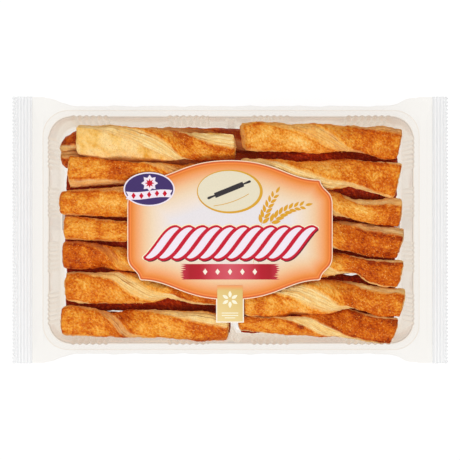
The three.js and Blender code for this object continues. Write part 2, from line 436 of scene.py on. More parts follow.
def layered_sides(run, across, through, on_edge, seed):
    """How far the cut sides stand out, and how much each spot is groove and how deep.

    Each layer ends at its own length, with a groove between it and the next. Two of the grooves
    open wide, where the dough came apart as it rose.
    """
    layer = (through + 1) / 2 * STRIP_LAYERS
    in_groove = 1 - np.abs(np.sin(math.pi * layer)) ** 0.7
    reach, depth = np.zeros((2, len(run)))
    open_layers = np.random.default_rng(seed).choice(np.arange(1, STRIP_LAYERS - 1), 2, replace=False)
    for sheet in range(STRIP_LAYERS):
        near = np.clip(1 - np.abs(layer - sheet - 0.5), 0, 1)
        wide = np.clip(1 - np.abs(layer - sheet) * 1.6, 0, 1) * (sheet in open_layers)
        for sign in (1, -1):
            this_side = np.sign(across) == sign
            reach += near * this_side * waver(run, 24 * MM, seed * 31 + sheet * 2 + sign)
            depth += near * this_side * (0.5 + 0.4 * waver(run, 17 * MM, seed * 57 + sheet * 2 + sign))
            gape = np.clip(0.7 + waver(run, 26 * MM, seed * 13 + sheet + sign), 0, 1)
            depth += wide * this_side * gape * 1.1
    swell = 0.15 + 0.95 * on_edge
    push = ((1 - through ** 2) * swell + reach * 0.5) * MM - in_groove * depth * LAYER_GROOVE
    return push, in_groove, depth


def fit_outline(y, share, x, blunt, outline, height):
    """Draws a silhouette from above out or in to its outline, station by station, and finds its middle."""
    stations, of_vertex = np.unique(np.rint(share * 10000).astype(int), return_inverse=True)
    highest, lowest = np.full(len(stations), -1.0), np.full(len(stations), 1.0)
    np.maximum.at(highest, of_vertex, y)
    np.minimum.at(lowest, of_vertex, y)
    highest, lowest = highest[of_vertex], lowest[of_vertex]
    upper_edge, lower_edge = [
        on_pack(0, stationed([(place[0], place[edge]) for place in outline], x, height), height)[1]
        for edge in (1, 2)]
    stretch = (upper_edge - lower_edge - 2 * blunt) / (highest - lowest)
    return (lower_edge + blunt) + (y - lowest) * stretch, (upper_edge + lower_edge) / 2


def twist(name, blank, section, seed, outline, height, turn, tone, lean=(0, 0), flat=(20, 11.5),
          wrung=(16, 12.8), pale=0.0, toast=(0, 0), skew=(0, 0), slope=0.0, gloom=0.0, burnt=None):
    """Bends one copy of the blank into a twist.

    outline is its silhouette on the picture: places across it, each with the upper and lower edge.
    turn gives, at places across the picture, how far its top face has turned, in degrees about +X,
    and tone how dark it baked there. lean slides the layers at each end, so that a cut side shows.
    flat and wrung are its width and thickness, in mm, where it lies flat and where it stands on edge.
    pale is how little the under face browned, and toast how brown its cut sides are at its left and
    its right. skew is how aslant its ends are cut, seen from above, and slope how far the foot of its
    left end stands out. gloom is how much painted shade darkens it on top, under the
    row above. burnt is where on the picture it has a scorched spot.
    """
    along, across, through, radius, on_cut = section
    on_face, at_end = np.abs(through) > 0.99, np.abs(along) > 0.999
    pick_only(blank)
    bpy.ops.object.duplicate()
    piece = bpy.context.object
    piece.name = piece.data.name = name
    x0, _ = on_pack(outline[0][0], 0, height)
    x1, _ = on_pack(outline[-1][0], 0, height)
    length = x1 - x0
    share = (along + 1) / 2
    run = share * length

    turned_by = stationed(turn, x0 + run, height)
    progress = (turned_by - turn[0][1]) / (turn[-1][1] - turn[0][1])
    on_edge = np.sin(np.radians(turned_by)) ** 2
    half_width = (flat[0] * (1 - on_edge) + wrung[0] * on_edge) / 2 * MM
    half_thick = (flat[1] * (1 - on_edge) + wrung[1] * on_edge) / 2 * MM
    half_thick = half_thick + waver(run, 31 * MM, seed + 1) * UNEVEN * MM

    # The section is a bar with soft corners and slightly crowned faces, rounded off at its ends.
    to_end = np.minimum(run, length - run) / END_ROUND
    blunt = (1 - np.sqrt(1 - np.clip(1 - to_end, 0, 1) ** 2)) * END_ROUND
    v = across * np.sqrt(1 - CUT_SOFTNESS * through ** 2) * (half_width - 0.8 * blunt)
    w = through * np.sqrt(1 - FACE_SOFTNESS * across ** 2) * (half_thick - blunt)
    w = w + np.sign(through) * (1 - across ** 2) * FACE_CROWN * MM * on_face

    inward = np.where(on_face, (np.abs(across) - 1) * half_width, (1 - np.abs(through)) * half_thick)
    side_push, in_groove, depth = layered_sides(run, across, through, on_edge, seed)
    v = v + np.sign(across) * on_cut * side_push
    tilt = lean[0] * (1 - progress) + lean[1] * progress
    v = v - through * tilt / 2 * MM

    # The ends are cut square, with the layers a little proud of one another.
    v, w = v * radius, w * radius
    cap = np.clip(1 - radius, 0, 1)
    run_end = run + np.sign(along) * (np.minimum(cap * 4, 1) * 0.5 - 0.35) * MM * at_end
    run_end += at_end * np.sign(along) * cap * waver(w, 3.1 * MM, seed + 5) * 0.5 * MM

    angle = np.radians(turned_by) + waver(run, 60 * MM, seed + 2) * 0.05
    y = v * np.cos(angle) - w * np.sin(angle)
    z = v * np.sin(angle) + w * np.cos(angle)

    y, middle = fit_outline(y, share, x0 + run, 0.8 * blunt, outline, height)
    drop = on_edge * max(wrung[0] - flat[1], 0) * 0.28 * MM
    centre_z = height + waver(run, 70 * MM, seed + 4) * 0.5 * MM
    centre_z = centre_z + np.where(height > 15 * MM, -drop, drop)
    ends_skew = np.where(share < 0.5, skew[0], skew[1]) * MM
    near_end = np.clip(1 - np.minimum(share, 1 - share) * length / (14 * MM), 0, 1)
    x = x0 + run_end + ends_skew * near_end * (y - middle) / (10 * MM)
    x = x + slope * MM * near_end * (share < 0.5) * z / (6 * MM)
    move_to(piece, np.stack([x, y, centre_z + z], 1))

    # The faces' edges are darker: browned in baking, with painted shade added, most on the upper edge on the
    # picture, which the light from the lower side leaves in shade, and a little on the lower edge, against
    # the next twist.
    upward = np.clip(across * np.sign(through), -1, 1)
    rim = 0.3 * np.clip(upward, 0, 1) ** 6 + 0.2 * np.clip(-upward, 0, 1) ** 10
    baked = stationed(tone, x0 + run, height) + on_face * rim
    if burnt:
        spot_x, spot_y = on_pack(*burnt, height)
        baked = baked + BURNT * np.exp(-((x - spot_x) ** 2 + (y - spot_y) ** 2) / BURNT_SIZE ** 2)
    shown = {
        "cut": np.maximum(smooth((inward - BROWN_WRAP) / BROWNED_EDGE + 0.5), np.clip(cap * 8, 0, 1)),
        "pale": np.where(through < 0, pale, 0.0),
        "heart": (1 - np.abs(through)) * on_cut,
        "toast": toast[0] + (toast[1] - toast[0]) * smooth(share * 1.6 - 0.3),
        "tone": baked,
        # Painted shade over the top of a lower twist, where the row above would shade it.
        "gloom": gloom * smooth((centre_z + z - 5 * MM) / (6 * MM)),
        "groove": in_groove * on_cut * np.clip(depth, 0, 1.6),
    }
    for shade, values in shown.items():
        store(piece, shade, values)
    # Places on the strip before it was turned, each strip and face in dough of its own.
    dough = np.stack([run + seed * 0.31, v + seed * 0.17, w + np.sign(through) * 0.05], 1)
    piece.data.attributes.new("dough", "FLOAT_VECTOR", "POINT").data.foreach_set("vector", dough.ravel())
    roughen(piece)
    press_flat(piece)
    return piece


def relief(name, size, detail):
    """A cloudy relief, as dough rises and blisters."""
    pattern = bpy.data.textures.new(name, "CLOUDS")
    pattern.noise_scale = size
    pattern.noise_depth = detail
    return pattern


# Each relief, with how far it pushes the dough out and in.
RELIEFS = [(relief("risen lumps", 8 * MM, 1), 1.5 * MM), (relief("small blisters", 2.4 * MM, 2), 1.0 * MM),
           (relief("sugar crust", 1.1 * MM, 1), 0.45 * MM)]


def roughen(piece):
    """Gives the dough its lumps and blisters."""
    for pattern, strength in RELIEFS:
        finish_with(piece, "DISPLACE", texture=pattern, strength=strength, mid_level=0.5)
    pick_only(piece)
    bpy.ops.object.shade_smooth()


def press_flat(piece):
    """Flattens what would stand above the film or sink into the tray's floor."""
    places = places_of(piece)
    for limit, way in ((TWIST_TOP, 1), (TWIST_FLOOR, -1)):
        room = (limit - places[:, 2]) * way / PRESS_SOFTNESS
        places[:, 2] = limit - way * PRESS_SOFTNESS * np.logaddexp(0, room)
    move_to(piece, places)


upper_blank = dough_blank("upper_blank", FACE_STEPS, CUT_STEPS, UPPER_LENGTH_STEPS)
upper_section = strip_section(upper_blank, FACE_STEPS, CUT_STEPS)
lower_blank = dough_blank("lower_blank", LOWER_STEPS, LOWER_STEPS, LOWER_LENGTH_STEPS)
lower_section = strip_section(lower_blank, LOWER_STEPS, LOWER_STEPS)


def upper(name, seed, **shape):
    return twist(name, upper_blank, upper_section, seed, height=UPPER_Z, **shape)


# Each twist's outline is read from the picture: across, upper edge, lower edge.
twists = [
    upper("upper_left_1", 11, lean=(0, 5), pale=1,
          turn=[(76, 184), (100, 200), (135, 243), (156, 268), (172, 300), (188, 352), (200, 382),
                (212, 404), (236, 426)],
          tone=[(76, 0.35), (165, 0.45), (182, 0.75), (198, 0.6), (235, 0.62)],
          outline=[(76, 124.5, 154), (95, 125.5, 158), (112, 125, 160.5), (140, 128.5, 161),
                   (165, 130, 161.5), (180, 131.5, 159), (195, 132.5, 160), (215, 133.5, 161),
                   (235, 135, 161)]),
    upper("upper_left_2", 12, lean=(-7, 0), toast=(0.35, 0.8),
          turn=[(68, -3), (110, -2), (138, 22), (190, 90), (233, 150)],
          tone=[(68, 0.58), (100, 0.6), (112, 0.98), (126, 0.9), (142, 0.6)],
          outline=[(68.5, 156, 188), (85, 157, 187), (110, 160, 184.5), (135, 162.5, 185), (160, 163, 186),
                   (182, 164.5, 188), (233, 160, 189)]),
    upper("upper_left_3", 13, toast=(0.75, 0.5),
          turn=[(60, -4), (88, 2), (115, 20), (135, 34), (175, 90), (232, 160)],
          tone=[(60, 0.66), (85, 0.62), (105, 0.52), (232, 0.5)],
          outline=[(60, 191.5, 214.5), (75, 189.5, 215), (100, 188.5, 216.5), (125, 186, 217.5),
                   (160, 187, 215), (232, 190, 218)]),
    upper("upper_left_4", 14, toast=(0.8, 0.5),
          turn=[(64, -2), (128, 2), (175, 70), (232, 150)],
          tone=[(64, 0.62), (90, 0.56), (232, 0.5)],
          outline=[(64, 216, 239), (80, 216.5, 240), (105, 219, 241), (128, 221.5, 242), (170, 219, 241),
                   (234, 218, 243)]),
    upper("upper_left_5", 15, toast=(1, 1),
          turn=[(62, 6), (88, 12), (106, 55), (120, 110), (138, 168), (170, 190), (232, 215)],
          tone=[(62, 0.95), (104, 0.95), (116, 0.55), (232, 0.6)],
          outline=[(62.5, 242, 268), (80, 241, 269.5), (100, 243.5, 267), (112, 246.5, 269.5),
                   (135, 249, 271), (170, 246, 268), (232, 245, 270)]),
    upper("upper_left_6", 16, toast=(0.2, 0),
          turn=[(65, -8), (84, 0), (100, 20), (116, 50), (134, 84), (156, 120), (180, 160), (233, 188)],
          tone=[(65, 0.7), (95, 0.66), (120, 0.45), (142, 0.22), (158, 0.3), (176, 0.85), (233, 0.9)],
          outline=[(65, 272, 300), (78, 271.5, 303), (95, 273, 304), (115, 271, 303.5), (140, 274, 303),
                   (155, 277, 301.5), (168, 280, 297), (190, 284, 303), (233, 284, 307)]),
    upper("upper_left_7", 17, toast=(0.75, 0),
          turn=[(61, -6), (94, 2), (108, 40), (119, 92), (131, 150), (150, 182), (172, 212), (200, 233),
                (228, 245)],
          tone=[(61, 0.66), (104, 0.56), (116, 0.98), (128, 0.9), (142, 0.5), (180, 0.5), (200, 0.8),
                (228, 0.85)],
          outline=[(61, 307, 334), (69, 304.5, 335.5), (82, 306, 336), (98, 309, 336.5), (114, 313.5, 336.5),
                   (128, 310, 337.5), (155, 310, 337.5), (180, 311, 339), (202, 310.5, 342),
                   (228, 315, 339.5)]),
    upper("upper_right_1", 21, lean=(0, 2.5), toast=(0.75, 0.6), skew=(-1, 2), slope=2.2,
          turn=[(240, -2), (265, 4), (290, 30), (318, 75), (335, 110), (352, 165), (372, 188), (400, 196)],
          tone=[(240, 0.5), (300, 0.34), (340, 0.4), (362, 0.74), (400, 0.74)],
          outline=[(242.5, 122.5, 150.5), (262, 121.5, 151), (290, 124, 151.5), (320, 123.5, 153),
                   (345, 125.5, 151), (362, 126.5, 153), (380, 126, 158.5), (392, 127.5, 160),
                   (400, 129, 159)]),
    upper("upper_right_2", 22, lean=(0, -1.5), toast=(0, 0.1), skew=(0, 2.5),
          turn=[(240, 20), (262, 55), (300, 100), (335, 135), (352, 168), (370, 178), (398, 191)],
          tone=[(240, 0.5), (335, 0.45), (352, 0.7), (398, 0.7)],
          outline=[(240, 158.5, 185), (265, 158.5, 186), (300, 161.5, 188), (330, 159.5, 190),
                   (351, 159, 186.5), (365, 161, 190.5), (382, 162, 195.5), (398, 163, 198.5)]),
    upper("upper_right_3", 23, lean=(0, 5), toast=(0.7, 0.2), skew=(0, 1),
          turn=[(240, 0), (330, 120), (345, 165), (360, 188), (401, 196)],
          tone=[(240, 0.45), (365, 0.36), (382, 0.8), (401, 0.82)],
          outline=[(240, 190, 216), (290, 188, 216), (325, 189, 215), (340, 193, 216), (354, 199, 219.5),
                   (372, 200, 224.5), (386, 198, 225.5), (401, 198.5, 226)]),
    upper("upper_right_4", 24, lean=(0, 4), toast=(0.1, 0.4), skew=(0, 2.5),
          turn=[(240, 0), (315, 110), (340, 172), (360, 192), (401, 203)],
          tone=[(240, 0.6), (342, 0.7), (356, 1.02), (401, 1.02)],
          outline=[(240, 222, 246), (290, 220, 246), (330, 220, 247.5), (350, 222, 251.5),
                   (368, 223.5, 256.5), (385, 226, 257.5), (401, 228.5, 257.5)]),
    upper("upper_right_5", 25, skew=(0, 2.5),
          turn=[(240, 0), (300, 60), (325, 115), (343, 170), (358, 181), (401, 185)],
          tone=[(240, 0.5), (338, 0.5), (352, 0.92), (401, 0.95)],
          outline=[(240, 249, 275), (290, 250, 277), (325, 250.5, 277), (344, 253.5, 272.5),
                   (356, 256.5, 273), (367, 258.5, 282.5), (385, 260, 287), (401, 260.5, 287.5)]),
    upper("upper_right_6", 26, lean=(0, 4), skew=(0, 2),
          turn=[(243, -4), (265, 2), (285, 40), (305, 80), (325, 110), (345, 150), (360, 182), (403, 194)],
          tone=[(243, 0.55), (285, 0.48), (300, 0.28), (336, 0.34), (350, 0.8), (375, 0.65), (403, 0.75)],
          outline=[(243, 290, 315), (262, 290, 317.5), (277, 288.5, 319), (292, 284.5, 314.5),
                   (312, 279.5, 316), (330, 279.5, 313), (348, 281.5, 307.5), (362, 284, 310.5),
                   (378, 287, 316), (403, 288.5, 317)]),
    upper("upper_right_7", 27, skew=(0, 3), burnt=(301, 325),
          turn=[(238, -2), (280, 10), (300, 60), (314, 92), (330, 125), (345, 165), (362, 181), (395, 184)],
          tone=[(238, 0.72), (270, 0.6), (312, 0.66), (326, 0.98), (395, 0.98)],
          outline=[(238.5, 316.5, 330), (258, 316.5, 332), (285, 316.5, 334.5), (315, 314, 336.5),
                   (335, 310.5, 336.5), (348, 308.5, 338), (365, 313, 341.5), (380, 317, 343),
                   (395, 317.5, 343.5)]),
]

# Under them lie two more rows, side by side, baked a little darker and with painted shade over their
# tops, under the row above. These are the edges between the lower twists down the picture, and where their
# ends lie across it.
LOWER_LEFT = (170, 199, 228, 256, 283, 311, 334)
LOWER_RIGHT = (129, 149, 172, 200, 222, 246, 274, 302, 318, 332)
LOWER_ENDS = {"left": (66, 230), "right": (240, 395)}
LOWER_GAPS = {311: 116, 274: 351}  # the edges where two lie apart, and where across the picture
GAP_REACH, GAP_HALF = 14, 1.4  # how far such a gap runs each way, and half its width
LOWER_LAP = 0.6  # how far two neighbours press into each other
LOWER_STRAY = 1.5  # how far an end strays
HALF_TURN = 80  # how far across the picture half a turn runs
CORNER_END, CORNER_LAP = 262, 6  # where the corner twists end among the right ones, and by how much


def lower(name, seed, **shape):
    return twist(name, lower_blank, lower_section, seed, height=LOWER_Z, flat=(17.5, 11),
                 wrung=(13.5, 11.5), **shape)


# The first two of the left ones reach into the tray's corner and show past the row above.
twists += [
    # Their tone rises to a deep brown past 236, where they run on under the right-hand row: painted shade.
    lower("lower_left_1", 38, toast=(0.3, 0.9), skew=(3, 0),
          turn=[(61, -60), (90, -40), (140, -8), (200, 60), (CORNER_END, 150)],
          tone=[(61, 1.2), (120, 0.9), (215, 1.0), (236, 1.8), (CORNER_END, 1.8)],
          outline=[(61, 138, 152.5), (68, 133.5, 154), (76, 130, 153), (120, 129, 152), (165, 127.5, 151),
                   (200, 128, 151), (CORNER_END, 129, 152)]),
    lower("lower_left_2", 39, toast=(0.5, 0.9), skew=(-2, 0),
          turn=[(61, 60), (120, 80), (CORNER_END, 160)],
          tone=[(61, 1.0), (215, 1.2), (236, 1.9), (CORNER_END, 1.9)],
          outline=[(61.5, 151, 168), (75, 150, 169), (150, 149, 170), (CORNER_END, 150, 170)]),
]
chance = np.random.default_rng(5)
for side_name, edges in (("left", LOWER_LEFT), ("right", LOWER_RIGHT)):
    for i, (top, bottom) in enumerate(zip(edges[:-1], edges[1:])):
        left, right = LOWER_ENDS[side_name] + chance.uniform(-LOWER_STRAY, LOWER_STRAY, 2)
        if side_name == "right" and i < 2:
            left = CORNER_END - CORNER_LAP
        turned = left + (right - left) * chance.uniform(0.15, 0.4)
        gaps = [LOWER_GAPS[edge] for edge in (top, bottom) if edge in LOWER_GAPS]
        stops = sorted([left, right] + [gap + way for gap in gaps for way in (-GAP_REACH, 0, GAP_REACH)])
        outline = [(x, *(edge + way * (GAP_HALF if LOWER_GAPS.get(edge) == x else -LOWER_LAP)
                         for edge, way in ((top, 1), (bottom, -1)))) for x in stops]
        twists.append(lower(
            f"lower_{side_name}_{i + 3}", 40 + i + 10 * (side_name == "right"), outline=outline,
            turn=[(left, 0), (turned, 0), (turned + HALF_TURN, 180), (right, 180)],
            tone=[(left, 0.75), (right, 0.85)], toast=(0.9, 0.9), gloom=1.0))
for blank in (upper_blank, lower_blank):
    bpy.data.objects.remove(blank)


def grey(level):
    """A share or a strength from 0 to 1, as a colour."""
    return (level, level, level, 1)


def mix(nodes, share, first, second, kind="MIX"):
    """Lays the second colour over the first by a share."""
    return add(nodes, "Mix", {0: share, 6: first, 7: second}, data_type="RGBA", blend_type=kind).outputs[2]


def principled(name, inputs):
    """A new material with one shader for a solid surface."""
    finish, nodes, links = shader_nodes(name)
    shader = add(nodes, "BsdfPrincipled", inputs)
    links.new(shader.outputs["BSDF"], nodes["Material Output"].inputs["Surface"])
    return finish, nodes, links, shader


def baked_dough():
    """Sugared golden faces, darker where they caught the heat, and pale layered cut sides."""
    # The dough gives off a faint warm glow, painted light that stands in for light soaking through it and
    # keeps its deep creases a warm brown.
    finish, nodes, links, shader = principled("baked puff pastry", {
        "Specular IOR Level": 0.06, "Emission Color": paint(150, 42, 6), "Emission Strength": 0.11})

    def clouds(scale, detail, stretch=(1, 1, 1), roughness=0.55):
        spread = add(nodes, "Mapping", {"Scale": stretch, "Vector": field(nodes, "dough", "Vector")})
        return add(nodes, "TexNoise", {"Vector": spread.outputs["Vector"], "Scale": scale,
                                       "Detail": detail, "Roughness": roughness}).outputs["Fac"]

    def times(value, share):
        return sums(nodes, "MULTIPLY", value, share)

    def swing(pattern, reach):
        return times(sums(nodes, "SUBTRACT", pattern, 0.5), reach)

    # Faces: from pale gold to deep caramel by the clouds of the oven's heat and the strip's own tone.
    grains = clouds(620, 3, roughness=0.62)
    heat = sums(nodes, "ADD", times(clouds(130, 3), 0.7), times(field(nodes, "tone"), 0.5))
    heat = sums(nodes, "ADD", heat, swing(grains, 0.75))
    face = ramp(nodes, heat, (0.3, paint(255, 216, 130)), (0.45, paint(250, 186, 84)),
                (0.6, paint(237, 150, 40)), (0.76, paint(210, 100, 4)), (0.92, paint(178, 68, 0)),
                (1.0, paint(140, 42, 0)))
    sugar = ramp(nodes, clouds(1000, 2), (0.56, grey(0)), (0.68, grey(1)))
    specks = ramp(nodes, heat, (0.5, paint(255, 220, 142)), (0.9, paint(236, 146, 44)))
    face = mix(nodes, times(sugar, 0.4), face, specks)
    blond = ramp(nodes, clouds(95, 4, roughness=0.6), (0.34, paint(230, 168, 60)),
                 (0.45, paint(250, 204, 116)), (0.58, paint(254, 222, 154)), (0.72, paint(248, 202, 126)))
    face = mix(nodes, field(nodes, "pale"), face, blond)

    # Cut sides: cream, lined along the layers, a little browner in spots and in the open grooves.
    lines = clouds(800, 3, (0.05, 1, 1), 0.65)
    cut = ramp(nodes, lines, (0.3, paint(240, 184, 104)), (0.45, paint(252, 212, 132)),
               (0.62, paint(255, 234, 172)))
    toward_faces = ramp(nodes, field(nodes, "heart"), (0.08, grey(0.35)), (0.5, grey(0)))
    cut = mix(nodes, toward_faces, cut, paint(238, 164, 70))
    spots = ramp(nodes, clouds(140, 2), (0.45, grey(0)), (0.75, grey(1)))
    cut = mix(nodes, times(spots, 0.35), cut, paint(232, 160, 68))
    cut = mix(nodes, times(field(nodes, "toast"), 0.9), cut, face)
    cut = mix(nodes, times(field(nodes, "groove"), 0.55), cut, paint(190, 108, 40))
    edge = sums(nodes, "ADD", field(nodes, "cut"), swing(clouds(300, 3), 0.9))
    border = ramp(nodes, edge, (0.15, grey(0)), (0.85, grey(1)))
    crumb = mix(nodes, border, face, cut)
    dust = ramp(nodes, clouds(1300, 2), (0.34, grey(0.8)), (0.58, grey(1)))
    crumb = mix(nodes, 0.85, crumb, dust, "MULTIPLY")
    # Painted shade: a dark maroon laid over the tops of the lower twists, under the row above.
    shade = ramp(nodes, grains, (0.36, paint(104, 14, 0)), (0.55, paint(156, 38, 0)),
                 (0.72, paint(200, 80, 10)))
    links.new(mix(nodes, field(nodes, "gloom"), crumb, shade), shader.inputs["Base Color"])
    gloss = ramp(nodes, grains, (0.3, grey(0.62)), (0.7, grey(0.4)))
    links.new(mix(nodes, border, gloss, grey(0.75)), shader.inputs["Roughness"])
    bump = add(nodes, "Bump", {"Height": mix(nodes, border, grains, lines), "Distance": 0.35 * MM,
                               "Strength": 0.6})
    links.new(bump.outputs["Normal"], shader.inputs["Normal"])
    return finish


pastry = baked_dough()
for piece in twists:
    piece.data.materials.append(pastry)
    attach(piece, "root")

# ----------------------------------------
# The sugar. Coarse crystals strewn on the dough before it was turned, baked on to the faces,
# some still pale and some melted to a deep gold.
# ----------------------------------------

UPPER_TWISTS = 14
CUT_FROM = 0.4  # from here on a cut side's crumb shows instead of the sugared face
CRYSTALS = 4500
CRYSTAL_HALF = (0.12 * MM, 0.26 * MM)  # the smallest's and the largest's half width
CRYSTAL_SUNK = 0.35  # of its half width


def coloured(name, colour, inputs):
    """A solid finish whose colour a function of its nodes works out."""
    finish, nodes, links, shader = principled(name, inputs)
    links.new(colour(nodes), shader.inputs["Base Color"])
    return finish


def browned_places(count, strewn):
    """Random places on the faces of the upper twists that look up or sideways, with their normals."""
    spots, ways, areas = [], [], []
    for piece in twists[:UPPER_TWISTS]:
        faces = piece.data.polygons
        normals, centres = np.zeros((2, len(faces) * 3))
        sizes = np.zeros(len(faces))
        faces.foreach_get("normal", normals)
        faces.foreach_get("center", centres)
        faces.foreach_get("area", sizes)
        cut = np.zeros(len(piece.data.vertices))
        piece.data.attributes["cut"].data.foreach_get("value", cut)
        corners = np.array([face.vertices[0] for face in faces])
        normals = normals.reshape(-1, 3)
        sugared = (cut[corners] < CUT_FROM) & (normals[:, 2] > -0.2)
        spots.append(centres.reshape(-1, 3)[sugared])
        ways.append(normals[sugared])
        areas.append(sizes[sugared])
    spots, ways, areas = np.concatenate(spots), np.concatenate(ways), np.concatenate(areas)
    picked = strewn.choice(len(spots), count, p=areas / areas.sum())
    return spots[picked] + strewn.normal(0, 0.25 * MM, (count, 3)) * (1, 1, 0), ways[picked]


def make_sugar():
    strewn = np.random.default_rng(77)
    bpy.ops.object.select_all(action="DESELECT")
    bpy.ops.mesh.primitive_cube_add(size=2)
    sugar = bpy.context.object
    corners = places_of(sugar)
    sides = [tuple(face.vertices) for face in sugar.data.polygons]
    spots, ways = browned_places(CRYSTALS, strewn)
    sizes = strewn.uniform(*CRYSTAL_HALF, CRYSTALS)
    turns = np.linalg.qr(strewn.normal(size=(CRYSTALS, 3, 3)))[0]
    turns[:, :, 0] *= np.sign(np.linalg.det(turns))[:, None]
    squash = strewn.uniform(0.6, 1.2, (CRYSTALS, 1, 3))
    grains = np.einsum("nij,nkj->nki", turns, corners[None] * squash * sizes[:, None, None])
    places = grains + (spots - ways * (sizes * CRYSTAL_SUNK)[:, None])[:, None]
    mesh = bpy.data.meshes.new("sugar")
    faces = [tuple(8 * i + corner for corner in side) for i in range(CRYSTALS) for side in sides]
    mesh.from_pydata(places.reshape(-1, 3).tolist(), [], faces)
    sugar.data = mesh
    sugar.name = "sugar"
    melted = np.repeat(strewn.uniform(0, 1, CRYSTALS), 8)
    store(sugar, "melted", melted)
    return sugar


def melted_sugar(nodes):
    """From pale to deep gold, by how far each crystal melted."""
    return ramp(nodes, field(nodes, "melted"), (0, paint(248, 196, 112)), (1, paint(226, 140, 42)))


sugar = make_sugar()
sugar.data.materials.append(coloured(
    "crystal sugar", melted_sugar, {"Roughness": 0.4, "Specular IOR Level": 0.15}))
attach(sugar, "root")

# ----------------------------------------
# The film. A tube of clear film is drawn round the tray, creased by its rim and its foot, and
# gathered into a fold at each corner, where the tube widens to the flat seal.
# ----------------------------------------

_, bag_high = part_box("bag")
PACK_HALF = bag_high.x - 0.05 * MM
FILM_TOP, FILM_FOOT = 27.4 * MM, 0.05 * MM
FIN_LOW, FIN_HIGH = 0.0, 11 * MM  # across the pack, where the fin seal lies under the tray
FIN_HOLLOW = 0.5 * MM
LEFT_SEAL, RIGHT_SEAL = 13.4 * MM, 10.3 * MM
SEAL_HALF = bag_high.y
SEAL_Z, PLY_GAP = 12 * MM, 0.1 * MM  # where the plies meet, and how far from there each starts
SEAL_MARGIN, SEAL_GATHER = 0.4 * MM, 0.97  # how far short of the seal's ends the film's edges meet it
FOLD_STARTS, FOLD_ENDS = 103 * MM, 123 * MM
FILM_RIM = (125.5 * MM, 80 * MM, 17 * MM)
FILM_BASE = (117.3 * MM, 71.5 * MM, 12 * MM)
SIDE_BULGE = (82.5 * MM, 17 * MM)  # how far out its sides stand, and at what height
TOP_STEPS, FLANK_STEPS, UNDER_STEPS = 110, 22, 110
FILM_LEVELS = 170


def half_width_at(outline, reach):
    """Half the width of a rounded rectangle at a distance along its length."""
    half_length, half_width, corner = outline
    past = np.clip(reach - (half_length - corner), 0, corner)
    return half_width - corner + np.sqrt(corner ** 2 - past ** 2)


def down_flank(q, rim, mid, base, fold):
    """From the rim through the middle to the base, as q rises: a round bulge, or a crease where folded."""
    bulge = (1 - q) ** 2 * rim + 2 * q * (1 - q) * (2 * mid - (rim + base) / 2) + q * q * base
    crease = np.where(q < 0.5, rim + (mid - rim) * 2 * q, mid + (base - mid) * (2 * q - 1))
    return bulge * (1 - fold) + crease * fold


